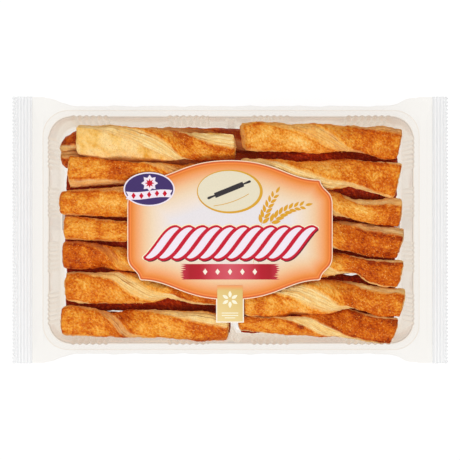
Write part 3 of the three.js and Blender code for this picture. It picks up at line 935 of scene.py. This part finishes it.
def make_film():
    sides = TOP_STEPS + UNDER_STEPS + 2 * FLANK_STEPS
    film = column("film", sides, FILM_LEVELS)
    side, level = around_and_up(film, sides, FILM_LEVELS)

    # Levels lie closer together over the ends than over the middle.
    t = level / FILM_LEVELS * 2 - 1
    spread = 0.55 * t + 0.45 * np.sign(t) * (1 - (1 - np.abs(t)) ** 2)
    x = np.where(t < 0, spread * (PACK_HALF - LEFT_SEAL), spread * (PACK_HALF - RIGHT_SEAL))
    end = np.where(t < 0, PACK_HALF - LEFT_SEAL, PACK_HALF - RIGHT_SEAL)
    to_seal = end - np.sign(t) * TRAY_MIDDLE
    from_tray = np.abs(x - TRAY_MIDDLE)

    rim_past = np.clip((from_tray - FILM_RIM[0]) / (to_seal - FILM_RIM[0]), 0, 1)
    base_past = np.clip((from_tray - FILM_BASE[0]) / (to_seal - FILM_BASE[0]), 0, 1)
    fold = smooth((np.abs(x) - FOLD_STARTS) / (FOLD_ENDS - FOLD_STARTS))
    seal_reach = SEAL_HALF - SEAL_MARGIN
    rim_y = half_width_at(FILM_RIM, from_tray) * (1 - rim_past) + seal_reach * SEAL_GATHER * rim_past
    # The film leaves the rim in a round shoulder before it runs straight to the seal.
    ease = rim_past ** 1.15
    rim_z = FILM_TOP * (1 - ease) + (SEAL_Z + PLY_GAP) * ease
    base_y = half_width_at(FILM_BASE, from_tray) * (1 - base_past) + seal_reach * SEAL_GATHER * base_past
    base_z = FILM_FOOT * (1 - base_past) + (SEAL_Z - PLY_GAP) * base_past
    mid_y = SIDE_BULGE[0] * (1 - fold) + seal_reach * fold
    mid_z = SIDE_BULGE[1] * (1 - fold) + SEAL_Z * fold

    starts = np.cumsum([0, TOP_STEPS, FLANK_STEPS, UNDER_STEPS])
    on_top = side < starts[1]
    y = np.where(on_top, rim_y * (2 * side / TOP_STEPS - 1), 0.0)
    z = np.where(on_top, rim_z, 0.0)
    for start, sign in ((starts[1], 1), (starts[3], -1)):
        here = (side >= start) & (side < start + FLANK_STEPS)
        q = (side - start) / FLANK_STEPS
        q = q if sign > 0 else 1 - q
        y = np.where(here, sign * down_flank(q, rim_y, mid_y, base_y, fold), y)
        z = np.where(here, down_flank(q, rim_z, mid_z, base_z, fold), z)
    under = (side >= starts[2]) & (side < starts[3])
    s = (side - starts[2]) / UNDER_STEPS
    y = np.where(under, base_y * (1 - 2 * s), y)
    beside_fin = np.maximum(FIN_LOW - y, y - FIN_HIGH)
    hollow = FIN_HOLLOW * (1 - smooth(beside_fin / (2.5 * MM))) * (1 - base_past)
    z = np.where(under, base_z + hollow, z)

    # Slack: soft folds across the ends, and gathers that run out of the seals.
    slack = np.clip(rim_past * (1 - rim_past) * 4, 0, 1)
    inward = np.where(z > SEAL_Z, -1, 1)
    ripple = waver(from_tray, 7 * MM, 3) * 0.35 + waver(y, 22 * MM, 4) * 0.5
    ripple = ripple + waver(y + x * 0.4, 9 * MM, 6) * 0.25
    z = z + inward * slack * (ripple + 0.8) * 0.6 * MM
    flank = (np.abs(y) > rim_y + 0.2 * MM) & (rim_past <= 0)
    y = y - np.sign(y) * flank * (waver(x, 30 * MM, 8) * 0.5 + 0.5) * 0.8 * MM
    move_to(film, np.stack([x, y, z], 1))
    face_outwards(film)
    bpy.ops.object.shade_smooth_by_angle(angle=math.radians(35))
    return film


film = make_film()
film.data.materials.append(clear_plastic(
    "clear film", paint(250, 249, 247), gloss=0.1, haze=0.002, mirror=(0.3, 0.002))[0])
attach(film, "root")
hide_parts("bag")

# ----------------------------------------
# The end seals. Both plies of the tube are pressed together between hot ribbed jaws, which leave
# ribs along the seal, and a toothed knife cuts its edge.
# ----------------------------------------

RIB_PITCH, RIB_DEPTH = 2.2 * MM, 0.5 * MM
CROSS_RIB_DEPTH = 0.25 * MM
TOOTH_PITCH, TOOTH_DEPTH = 2.5 * MM, 1.0 * MM
STEPS_PER_RIB, STEPS_PER_TOOTH = 6, 4
SEAL_LAP = 0.3 * MM  # how far a seal laps over the open film
SEAL_SHEET = 0.14 * MM


def flat_sheet(name, long_steps, cross_steps):
    """A flat grid to press into a form, and how far along and across it each vertex lies, from 0 to 1."""
    bpy.ops.object.select_all(action="DESELECT")
    bpy.ops.mesh.primitive_grid_add(x_subdivisions=long_steps, y_subdivisions=cross_steps, size=1)
    sheet = bpy.context.object
    sheet.name = sheet.data.name = name
    along, across, _ = (places_of(sheet) + 0.5).T
    return sheet, along, across


def crimp(sheet, x, y, z, pressed, thickness):
    """Presses ribs into a flat sheet of film."""
    move_to(sheet, np.stack([x, y, z], 1))
    store(sheet, "pressed", pressed)
    finish_with(sheet, "SOLIDIFY", thickness=thickness, offset=0)
    face_outwards(sheet)
    bpy.ops.object.shade_smooth_by_angle(angle=math.radians(50))


def make_seal(name, sign, width):
    teeth = round(2 * SEAL_HALF / TOOTH_PITCH)
    seal, u, v = flat_sheet(name, math.ceil(width / RIB_PITCH) * STEPS_PER_RIB, teeth * STEPS_PER_TOOTH)
    tooth = np.abs(((v * teeth) % 1) * 2 - 1)
    x = PACK_HALF - width - SEAL_LAP + u * (width + SEAL_LAP - TOOTH_DEPTH * tooth * u ** 6)
    rib = np.cos(2 * math.pi * u * (width + SEAL_LAP) / RIB_PITCH)
    # The knife's side of the seal also carries fine cross ribs.
    cross = np.cos(2 * math.pi * v * teeth) * np.clip(u * 3 - 1.9, 0, 1)
    z = SEAL_Z + (rib * RIB_DEPTH + cross * CROSS_RIB_DEPTH) / 2
    z = z + waver(v * 2 * SEAL_HALF, 60 * MM, 9) * 0.1 * MM
    y = (v * 2 - 1) * (SEAL_HALF - 0.05 * MM)
    # Whiter on the rib crests and greyer between them: stress whitening, with painted light and shade of the
    # ribs.
    pressed = 0.5 + 0.5 * rib * (1 - 0.7 * (u > 0.72)) + 0.3 * cross
    crimp(seal, sign * x, y, z, pressed, SEAL_SHEET)
    return seal


def crimped_film():
    """Milky where the two plies are pressed together, whiter on the rib crests and greyer between them: the
    film's stress whitening, with painted light and shade of the ribs.
    """
    finish, nodes, links = clear_plastic(
        "crimped film", paint(252, 252, 252), gloss=0.25, haze=0.55, mirror=(0.4, 0.01))
    shades = ramp(nodes, field(nodes, "pressed"), (0, paint(226, 227, 228)), (1, paint(248, 248, 248)))
    links.new(shades, nodes["milk"].inputs["Color"])
    return finish


seal_finish = crimped_film()
for name, sign, width in (("seal_left", -1, LEFT_SEAL), ("seal_right", 1, RIGHT_SEAL)):
    seal = make_seal(name, sign, width)
    seal.data.materials.append(seal_finish)
    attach(seal, "root")
    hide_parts("bag")

# ----------------------------------------
# The fin seal. The tube's two long edges, pressed together inside to inside between knurled
# wheels, and folded flat against the film under the tray.
# ----------------------------------------

FIN_SHEET = 0.16 * MM
FIN_Z = 0.27 * MM
FIN_RIB_PITCH, FIN_RIB_DEPTH = 1.6 * MM, 0.05 * MM


def make_fin_seal():
    half = TRAY_FOOT[0] - 1 * MM
    fin, u, v = flat_sheet("fin_seal", 72, 48)
    x = (u * 2 - 1) * half + TRAY_MIDDLE
    y = FIN_LOW + v * (FIN_HIGH - FIN_LOW) + waver(x, 120 * MM, 21) * 0.3 * MM
    ribs = np.cos(2 * math.pi * v * (FIN_HIGH - FIN_LOW) / FIN_RIB_PITCH)
    z = FIN_Z + ribs * FIN_RIB_DEPTH + waver(x, 70 * MM, 22) * 0.03 * MM
    # Whiter on the rib crests and greyer between them: stress whitening, with painted light and shade of the
    # ribs.
    crimp(fin, x, y, z, 0.5 + 0.5 * ribs, FIN_SHEET)
    return fin


fin_seal = make_fin_seal()
fin_seal.data.materials.append(seal_finish)
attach(fin_seal, "root")
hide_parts("bag")

# ----------------------------------------
# The printed panel. Inks on the film, a white keyline round an orange rim that fades through
# cream to a pale middle. Its outline has ogee edges and scalloped corners.
# ----------------------------------------

PANEL_LOW, PANEL_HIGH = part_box("panel")
PANEL_SIDE = 68.2  # how far its straight sides stand out, in mm
PANEL_SPINE = 24 * MM  # half the line that its rings shrink to
PANEL_RINGS = 44
PRINT_Z = PANEL_LOW.z - 0.15 * MM
PRINT_STEP = 0.05 * MM  # from one layer of ink to the next
PRINT_GRAIN = 900  # how fine the inks' grain is
PANEL_FADE = 30 * MM  # from the panel's edge to its palest
PANEL_COLOURS = [
    (0.0, (255, 232, 204)), (0.014, (255, 222, 190)), (0.024, (208, 94, 46)), (0.046, (216, 104, 36)),
    (0.066, (248, 140, 60)), (0.088, (228, 122, 40)), (0.115, (234, 134, 50)), (0.15, (237, 146, 70)),
    (0.24, (240, 166, 110)), (0.38, (239, 195, 150)), (0.55, (238, 213, 182)), (0.78, (238, 222, 208)),
    (1.0, (230, 224, 226))]


def bezier(start, first, second, stop, t):
    return ((1 - t) ** 3 * start + 3 * (1 - t) ** 2 * t * first
            + 3 * (1 - t) * t * t * second + t ** 3 * stop)


def panel_outline(steps=66):
    """The panel's edge, clockwise from the middle of its top, worked out for one quarter and mirrored."""
    ogee = [np.array(p) for p in ((0, PANEL_HIGH.y / MM), (32, 46.4), (38.5, 33.4), (59.9, 33.4))]
    scallop = [np.array(p) for p in ((59.9, 33.4), (61.2, 25.5), (PANEL_SIDE, 27), (PANEL_SIDE, 17))]
    path = [bezier(*ogee, t) for t in np.linspace(0, 1, 60, endpoint=False)]
    path += [bezier(*scallop, t) for t in np.linspace(0, 1, 30, endpoint=False)]
    path = np.array(path + [np.array((PANEL_SIDE, y)) for y in np.linspace(17, 0, 12)])
    far = np.concatenate([[0], np.cumsum(np.hypot(*np.diff(path, axis=0).T))])
    even = np.linspace(0, far[-1], steps + 1)
    quarter = np.stack([np.interp(even, far, path[:, 0]), np.interp(even, far, path[:, 1])], 1) * MM
    mirrored = [(quarter * (across, up))[::across * up][:-1]
                for across, up in ((1, 1), (1, -1), (-1, -1), (-1, 1))]
    return np.concatenate(mirrored)


def make_panel():
    outline = panel_outline()
    panel, u, v = flat_sheet("panel_print", len(outline), PANEL_RINGS)
    edge = outline[np.rint(u * len(outline)).astype(int) % len(outline)]
    spine = np.stack([np.clip(edge[:, 0], -PANEL_SPINE, PANEL_SPINE), edge[:, 1] * 0], 1)
    inset = v ** 1.25
    flat = edge * (1 - inset)[:, None] + spine * inset[:, None]
    move_to(panel, np.column_stack([flat, np.full(len(flat), PRINT_Z)]))
    face_outwards(panel)
    fine = panel_outline(200)
    store(panel, "rim", [np.hypot(*(fine - place).T).min() for place in places_of(panel)[:, :2]])
    if panel.data.polygons[0].normal.z < 0:
        panel.data.flip_normals()
    finish_with(panel, "SOLIDIFY", thickness=0.2 * MM, offset=-1)
    return panel


def print_grain(nodes, *colour):
    """A printed colour that wanders a little darker from place to place."""
    where = add(nodes, "TexCoord").outputs["Object"]
    grain = add(nodes, "TexNoise", {"Vector": where, "Scale": PRINT_GRAIN}).outputs["Fac"]
    return ramp(nodes, grain, (0, paint(*colour)), (1, paint(*[part * 0.95 for part in colour])))


def ink(name, *colour, gloss=0.35):
    """One flat ink."""
    return coloured(name, lambda nodes: print_grain(nodes, *colour), {"Roughness": gloss})


def panel_fields(nodes):
    """A white edge and an orange rim that fades inwards to a pale middle."""
    inwards = sums(nodes, "MULTIPLY", field(nodes, "rim"), 1 / PANEL_FADE)
    fields = ramp(nodes, inwards, *[(place, paint(*colour)) for place, colour in PANEL_COLOURS])
    return mix(nodes, 1, fields, print_grain(nodes, 255, 255, 255), "MULTIPLY")


panel = make_panel()
panel.data.materials.append(coloured("panel inks", panel_fields, {"Roughness": 0.35}))
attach(panel, "root")
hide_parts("panel")

# ----------------------------------------
# The motifs on the panel. Flat inks over the panel's own, layer by layer: an oval with a gold rim,
# two ears of wheat, a rope of white strands edged in crimson, and a crimson brush stroke.
# ----------------------------------------


def flat_shape(name, outline, level):
    """One patch of ink with this outline, in mm on the pack, on a layer of its own."""
    bpy.ops.object.select_all(action="DESELECT")
    bpy.ops.mesh.primitive_circle_add(vertices=len(outline), radius=1, fill_type="NGON")
    patch = bpy.context.object
    patch.name = patch.data.name = name
    height = PRINT_Z + level * PRINT_STEP
    move_to(patch, [(x * MM, y * MM, height) for x, y in outline])
    if patch.data.polygons[0].normal.z < 0:
        patch.data.flip_normals()
    return patch


def one_ink(name, outlines, level, finish, climb=0.0):
    """Patches of one ink, joined into a thin printed piece, each climb higher than the last."""
    patches = [flat_shape(name, outline, level + i * climb) for i, outline in enumerate(outlines)]
    pick_only(patches[0])
    for patch in patches:
        patch.select_set(True)
    if len(patches) > 1:
        bpy.ops.object.join()
    piece = bpy.context.object
    piece.name = piece.data.name = name
    finish_with(piece, "SOLIDIFY", thickness=0.8 * PRINT_STEP, offset=-1)
    piece.data.materials.append(finish)
    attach(piece, "root")
    return piece


def ellipse(x, y, half_width, half_height, steps=72):
    angles = [2 * math.pi * i / steps for i in range(steps)]
    return [(x + half_width * math.cos(a), y + half_height * math.sin(a)) for a in angles]


OVAL = (-0.1, 25.5, 21.9, 14.5)
gold_ink = ink("gold ink", 218, 162, 40, gloss=0.3)
one_ink("oval_rim", [ellipse(*OVAL)], 1, gold_ink)
one_ink("oval_field", [ellipse(OVAL[0] - 0.65, OVAL[1] + 0.3, OVAL[2] - 1.3, OVAL[3] - 1.05)], 2,
        ink("cream ink", 229, 219, 192))


def turned(outline, angle, x, y):
    """An outline turned about its origin, by an angle in degrees, and put at a place."""
    cos, sin = math.cos(math.radians(angle)), math.sin(math.radians(angle))
    return [(x + a * cos - b * sin, y + a * sin + b * cos) for a, b in outline]


def ribbon(places, halves, past=0.0):
    """A closed outline round a line of places, half as wide at each, run on past both its ends."""
    left, right = [], []
    end = len(places) - 1
    for i, ((x, y), half) in enumerate(zip(places, halves)):
        (ax, ay), (bx, by) = places[max(i - 1, 0)], places[min(i + 1, end)]
        far = math.hypot(bx - ax, by - ay)
        tx, ty = (bx - ax) / far, (by - ay) / far
        push = past * ((i == end) - (i == 0))
        left.append((x - ty * half + tx * push, y + tx * half + ty * push))
        right.append((x + ty * half + tx * push, y - tx * half + ty * push))
    return left + right[::-1]


def stroke(places, width):
    """A thin line of ink."""
    return ribbon(places, [width / 2] * len(places))


def bent(start, knee, stop, steps=10):
    """Places along a curve that leaves start and reaches stop, drawn towards the knee."""
    shares = [i / steps for i in range(steps + 1)]
    return [tuple((1 - t) ** 2 * a + 2 * t * (1 - t) * k + t * t * b for a, k, b in zip(start, knee, stop))
            for t in shares]


def rolling_pin(length, thickness):
    """A rolling pin lying along X: a barrel with a short handle at each end."""
    half, handle, round_end = length / 2, length * 0.17, thickness * 0.25
    right = [(half - handle, -thickness / 2), (half - handle, -round_end * 0.6),
             (half - round_end, -round_end)]
    right += [(half - round_end + round_end * math.cos(a), round_end * math.sin(a))
              for a in (-0.8, -0.3, 0.3, 0.8)]
    right += [(half - round_end, round_end), (half - handle, round_end * 0.6), (half - handle, thickness / 2)]
    return right + [(-x, -y) for x, y in right]


one_ink("oval_pin", [turned(rolling_pin(31, 3.4), 22, OVAL[0] - 0.5, OVAL[1] + 1.2)], 3,
        ink("charcoal ink", 44, 38, 42))
one_ink("oval_swash", [stroke(bent((-11, 16), (2, 17.5), (12.5, 24), 16), 0.4)], 3, gold_ink)


def kernel(length, width):
    """One grain of an ear: a drop along X, pointed where it leaves the stalk and at its tip."""
    top = [(length * t, width / 2 * math.sin(math.pi * t) ** 0.8 * (1.2 - 0.4 * t))
           for t in (0.0, 0.12, 0.28, 0.45, 0.62, 0.8, 0.92)]
    return top + [(length, 0)] + [(x, -y) for x, y in top[:0:-1]]


def ear(foot, tip, bow, pairs, size):
    """An ear of wheat from foot to tip, bowed sideways: grains in pairs, and one at the tip."""
    (x0, y0), (x1, y1) = foot, tip
    way = math.degrees(math.atan2(y1 - y0, x1 - x0))
    outlines = []
    for i in range(pairs):
        t = i / pairs
        side = bow * math.sin(math.pi * t)
        x = x0 + (x1 - x0) * t - side * math.sin(math.radians(way))
        y = y0 + (y1 - y0) * t + side * math.cos(math.radians(way))
        lean = bow * 6 * math.cos(math.pi * t)
        grown = size * (1 - 0.35 * t)
        for out in (1, -1):
            across = way + lean + 90 * out
            root = (x + 0.35 * math.cos(math.radians(across)), y + 0.35 * math.sin(math.radians(across)))
            outlines.append(turned(kernel(grown, grown * 0.42), way + lean + 31 * out, *root))
    outlines.append(turned(kernel(size * 0.8, size * 0.3), way - bow * 6, x1, y1))
    return outlines


EAR_FEET = ((21.2, 4.4), (27.2, 5.0))
ears = ear(EAR_FEET[0], (30.6, 24.6), 1.0, 6, 6.2) + ear(EAR_FEET[1], (50.0, 16.4), 2.4, 7, 6.4)
one_ink("wheat", ears, 1, ink("wheat ink", 220, 158, 26))
one_ink("wheat_stems", [stroke(bent(EAR_FEET[0], (19.0, 0), (15.5, -22)), 0.4),
                        stroke(bent(EAR_FEET[1], (21.5, 0), (19.0, -22)), 0.4)], 1,
        ink("stem ink", 226, 190, 130))

# A rope runs across the middle of the panel. Each of its strands leaves one edge level, runs up
# across it and reaches the other edge level.
ROPE = (-57.6, 58.4, -8.6)  # its left and right end and its middle height
STRANDS = 11
STRAND_REACH = (11.0, 9.6, 2.35)  # how far a strand runs each way along and up, and its half width
STRAND_STEPS = 12  # from its middle to each tip
ROPE_EDGE = 1.6


def strand(middle, grow, slip=(0, 0)):
    """One turn of the rope, made wider all round by grow, a little less at its tips."""
    along, up, half = STRAND_REACH
    shares = [i / STRAND_STEPS - 1 for i in range(2 * STRAND_STEPS + 1)]
    spine = [(middle + along * t + slip[0], ROPE[2] + up * math.sin(t * math.pi / 2) + slip[1])
             for t in shares]
    halves = [half * (1 - abs(t) ** 2.6) ** 0.75 + (grow if abs(t) < 1 else 0.35 * grow) for t in shares]
    return ribbon(spine, halves, grow)


first, last = ROPE[0] + STRAND_REACH[0] + ROPE_EDGE, ROPE[1] - STRAND_REACH[0] - ROPE_EDGE
middles = [first + (last - first) * i / (STRANDS - 1) for i in range(STRANDS)]
crimson_ink = ink("crimson ink", 198, 6, 42, gloss=0.25)
shade_ink = ink("rope shade", 104, 10, 34, gloss=0.25)
glow_ink = ink("rope glow", 250, 232, 196)
white_ink = ink("white ink", 240, 228, 238, gloss=0.3)
cream_white_ink = ink("cream white ink", 250, 238, 220, gloss=0.3)
one_ink("rope_glow", [strand(x, ROPE_EDGE + 0.8) for x in middles], 1, glow_ink, climb=0.03)
one_ink("rope_shade", [strand(x, ROPE_EDGE, (0.5, -0.7)) for x in middles], 1.5, shade_ink, climb=0.03)
# Each strand's inks lie a hair over the last one's, so that it laps over it.
one_ink("rope_edge", [strand(x, ROPE_EDGE) for x in middles], 2.2, crimson_ink, climb=0.1)
one_ink("rope_strands", [strand(x, 0) for x in middles], 2.25, white_ink, climb=0.1)

BAND = (-32.9, 33.0, -22.6, -32.9)  # left, right, top, bottom
BAND_HAIRS = 7  # at each ragged end


def brush_band():
    """A broad stroke of a brush, ragged at both ends."""
    left, right, top, bottom = BAND
    hairs = np.random.default_rng(9)
    outline = []
    for end, way in ((right, 1), (left, -1)):
        levels = [top + (bottom - top) * i / (2 * BAND_HAIRS) for i in range(2 * BAND_HAIRS + 1)]
        side = [(end + way * (hairs.uniform(-0.8, 0.3) if i % 2 == 0 else hairs.uniform(-4.2, -2.0)), y)
                for i, y in enumerate(levels)]
        outline += side if way > 0 else side[::-1]
    return outline


def band_crimson(nodes):
    """Crimson that thins to rose in the middle of the stroke and at its tips."""
    place = add(nodes, "SeparateXYZ", {"Vector": add(nodes, "TexCoord").outputs["Object"]})
    out = sums(nodes, "MULTIPLY", sums(nodes, "ABSOLUTE", place.outputs["X"]), 1 / (BAND[1] * MM))
    return ramp(nodes, out, (0.0, paint(206, 84, 96)), (0.35, paint(200, 60, 76)),
                (0.62, paint(176, 2, 32)), (0.8, paint(168, 0, 26)), (1.0, paint(192, 44, 66)))


one_ink("band", [brush_band()], 1, coloured("band ink", band_crimson, {"Roughness": 0.3}))
DIAMOND = [(1.5, 0), (0, 2.1), (-1.5, 0), (0, -2.1)]
one_ink("band_diamonds", [turned(DIAMOND, 0, x, (BAND[2] + BAND[3]) / 2)
                          for x in (-16.5, -8.25, 0, 8.25, 16.5)], 2, cream_white_ink)

# ----------------------------------------
# The badge. A violet oval with a white rim, a rosette and a scroll, printed over the panel's
# upper left edge and the bare film beside it.
# ----------------------------------------

badge_low, badge_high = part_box("badge")
BADGE = ((badge_low.x + badge_high.x) / 2 / MM, (badge_low.y + badge_high.y) / 2 / MM)
BADGE_HALF = ((badge_high.x - badge_low.x) / 2 / MM, (badge_high.y - badge_low.y) / 2 / MM)
BADGE_RIM = 0.9
ROSETTE = (BADGE[0] + 0.3, BADGE[1] + 4.0)
# How far below the badge's middle the scroll lies, how far it waves, and how deep its ends are notched.
SCROLL_DROP, SCROLL_DIP, SCROLL_NOTCH = 3.6, 0.9, 1.4


def rosette(radius, petals, depth):
    """A flower's outline, with the gaps between its petals this deep, as a share of its radius."""
    steps = petals * 8
    angles = [2 * math.pi * i / steps for i in range(steps)]
    reaches = [radius * (1 - depth * abs(math.sin(a * petals / 2))) for a in angles]
    return [(ROSETTE[0] + reach * math.cos(a), ROSETTE[1] + reach * math.sin(a))
            for reach, a in zip(reaches, angles)]


def scroll(half_length, half_height):
    """A waving strip across the badge, with notched ends."""
    shares = [i / 16 * 2 - 1 for i in range(17)]
    top = [(BADGE[0] + t * half_length, BADGE[1] - SCROLL_DROP + half_height + SCROLL_DIP * math.sin(t * 2.6))
           for t in shares]
    bottom = [(x, y - 2 * half_height) for x, y in top]
    notches = [(x + way * SCROLL_NOTCH, y - half_height) for (x, y), way in ((top[-1], -1), (top[0], 1))]
    return top + notches[:1] + bottom[::-1] + notches[1:]


badge = one_ink("badge_rim", [ellipse(*BADGE, *BADGE_HALF)], 4, white_ink)
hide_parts("badge")
one_ink("badge_field", [ellipse(*BADGE, BADGE_HALF[0] - BADGE_RIM, BADGE_HALF[1] - BADGE_RIM)], 5,
        ink("violet ink", 62, 40, 102, gloss=0.3))
one_ink("badge_white", [rosette(5.6, 8, 0.3), scroll(15.4, 2.5)], 6, white_ink)
one_ink("badge_red", [rosette(3.1, 8, 0.45)] + [
    turned(DIAMOND, 0, BADGE[0] + t * 12.2, BADGE[1] - SCROLL_DROP + SCROLL_DIP * math.sin(t * 2.6))
    for t in (-0.85, -0.425, 0, 0.425, 0.85)], 7, crimson_ink)

# ----------------------------------------
# The tag. A pale gold label that laps over the panel's lower edge, in a white frame that stops
# there, with a flower and three bars in thin white ink.
# ----------------------------------------

tag_low, tag_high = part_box("tag")
TAG = (tag_low.x / MM, tag_low.y / MM, tag_high.x / MM, tag_high.y / MM)
TAG_MIDDLE = ((TAG[0] + TAG[2]) / 2, (TAG[1] + TAG[3]) / 2)
FRAME_TOP = TAG[3] - 9.0  # where the panel's lower edge meets the tag, and its white frame stops
PETALS = 6


def plate(inset, top):
    """The tag's rectangle, this far in from its sides and its foot."""
    left, bottom, right = TAG[0] + inset, TAG[1] + inset, TAG[2] - inset
    return [(left, bottom), (right, bottom), (right, top), (left, top)]


def sweep(nodes, x, y, angle, length):
    """A value that rises from 0 to 1 over a length, from a place and at an angle to +X."""
    way = add(nodes, "Mapping", {
        "Vector": add(nodes, "TexCoord").outputs["Object"], "Location": (x * MM, y * MM, 0),
        "Rotation": (0, 0, math.radians(angle)), "Scale": (length * MM, length * MM, 1),
    }, vector_type="TEXTURE")
    return add(nodes, "TexGradient", {"Vector": way.outputs["Vector"]}).outputs["Fac"]


def tag_gold(nodes):
    """Pale gold, lighter towards its lower left, that fades into the panel's peach at its top."""
    gold = ramp(nodes, sweep(nodes, TAG[2], TAG[3], -125, 30),
                (0, paint(212, 178, 98)), (1, paint(232, 208, 148)))
    return mix(nodes, sweep(nodes, 0, TAG[3] - 3.5, 90, 3.2), gold, paint(236, 152, 92))


tag = one_ink("tag_edge", [plate(0, FRAME_TOP)], 4, cream_white_ink)
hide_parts("tag")
one_ink("tag_field", [plate(0.75, TAG[3])], 5, coloured("tag gold", tag_gold, {"Roughness": 0.3}))
petals = []
for degrees in range(30, 390, 360 // PETALS):
    out = math.radians(degrees)
    petals.append(turned(kernel(4.4, 2.2), degrees, TAG_MIDDLE[0] + 1.3 * math.cos(out),
                         TAG_MIDDLE[1] + 3.0 + 1.3 * math.sin(out)))
bars = [stroke([(TAG_MIDDLE[0] - reach, TAG_MIDDLE[1] - y), (TAG_MIDDLE[0] + reach, TAG_MIDDLE[1] - y)], 0.6)
        for reach, y in ((5.5, 6.0), (5.5, 7.6), (3.5, 9.2))]
one_ink("tag_flower", petals + bars, 6, ink("pale ink", 248, 242, 214))

# ----------------------------------------
# The camera looks straight down on the pack from above, as the picture does. Soft light falls
# from overhead and from the picture's lower side, on a plain white floor.
# ----------------------------------------

SENSOR = 36
PICTURE_WIDTH = 460
bpy.ops.object.camera_add(location=(0, 0, CAMERA_HEIGHT), rotation=(0, 0, 0))
camera = bpy.context.object
camera.data.sensor_width = SENSOR
camera.data.lens = SENSOR * (CAMERA_HEIGHT - TRAY_RIM_Z) / (PICTURE_WIDTH * PIXEL)
bpy.context.scene.camera = camera


def soft_box(name, place, size, watts):
    """A wide lamp that looks at the pack."""
    bpy.ops.object.light_add(type="AREA", location=place)
    lamp = bpy.context.object
    lamp.name = name
    lamp.data.shape = "RECTANGLE"
    lamp.data.size, lamp.data.size_y = size
    lamp.data.energy = watts
    lamp.rotation_euler = (-Vector(place)).to_track_quat("-Z", "Y").to_euler()


soft_box("key", (-0.15, -0.75, 1.15), (0.9, 0.6), 11)
soft_box("left_fill", (-1.0, -0.2, 0.9), (0.6, 1.0), 2.5)
soft_box("right_fill", (1.0, -0.3, 0.9), (0.6, 1.0), 2.5)
soft_box("back_fill", (0.1, 1.0, 0.75), (1.0, 0.5), 4.5)

world = bpy.data.worlds.new("studio")
bpy.context.scene.world = world
world.use_nodes = True
world.node_tree.nodes["Background"].inputs["Color"].default_value = (1, 1, 1, 1)
world.node_tree.nodes["Background"].inputs["Strength"].default_value = 0.36
bpy.context.scene.view_settings.view_transform = "Standard"
# Light and sight pass up to a dozen clear surfaces where film, rim and wall lie over one another.
bpy.context.scene.cycles.transparent_max_bounces = 32

bpy.ops.mesh.primitive_plane_add(size=20, location=(0, 0, -0.2 * MM))
floor = bpy.context.object
floor.name = "floor"
floor.data.materials.append(principled("white floor", {
    "Base Color": (0.12, 0.12, 0.12, 1), "Roughness": 1, "Specular IOR Level": 0,
    "Emission Color": (1, 1, 1, 1), "Emission Strength": 0.91})[0])
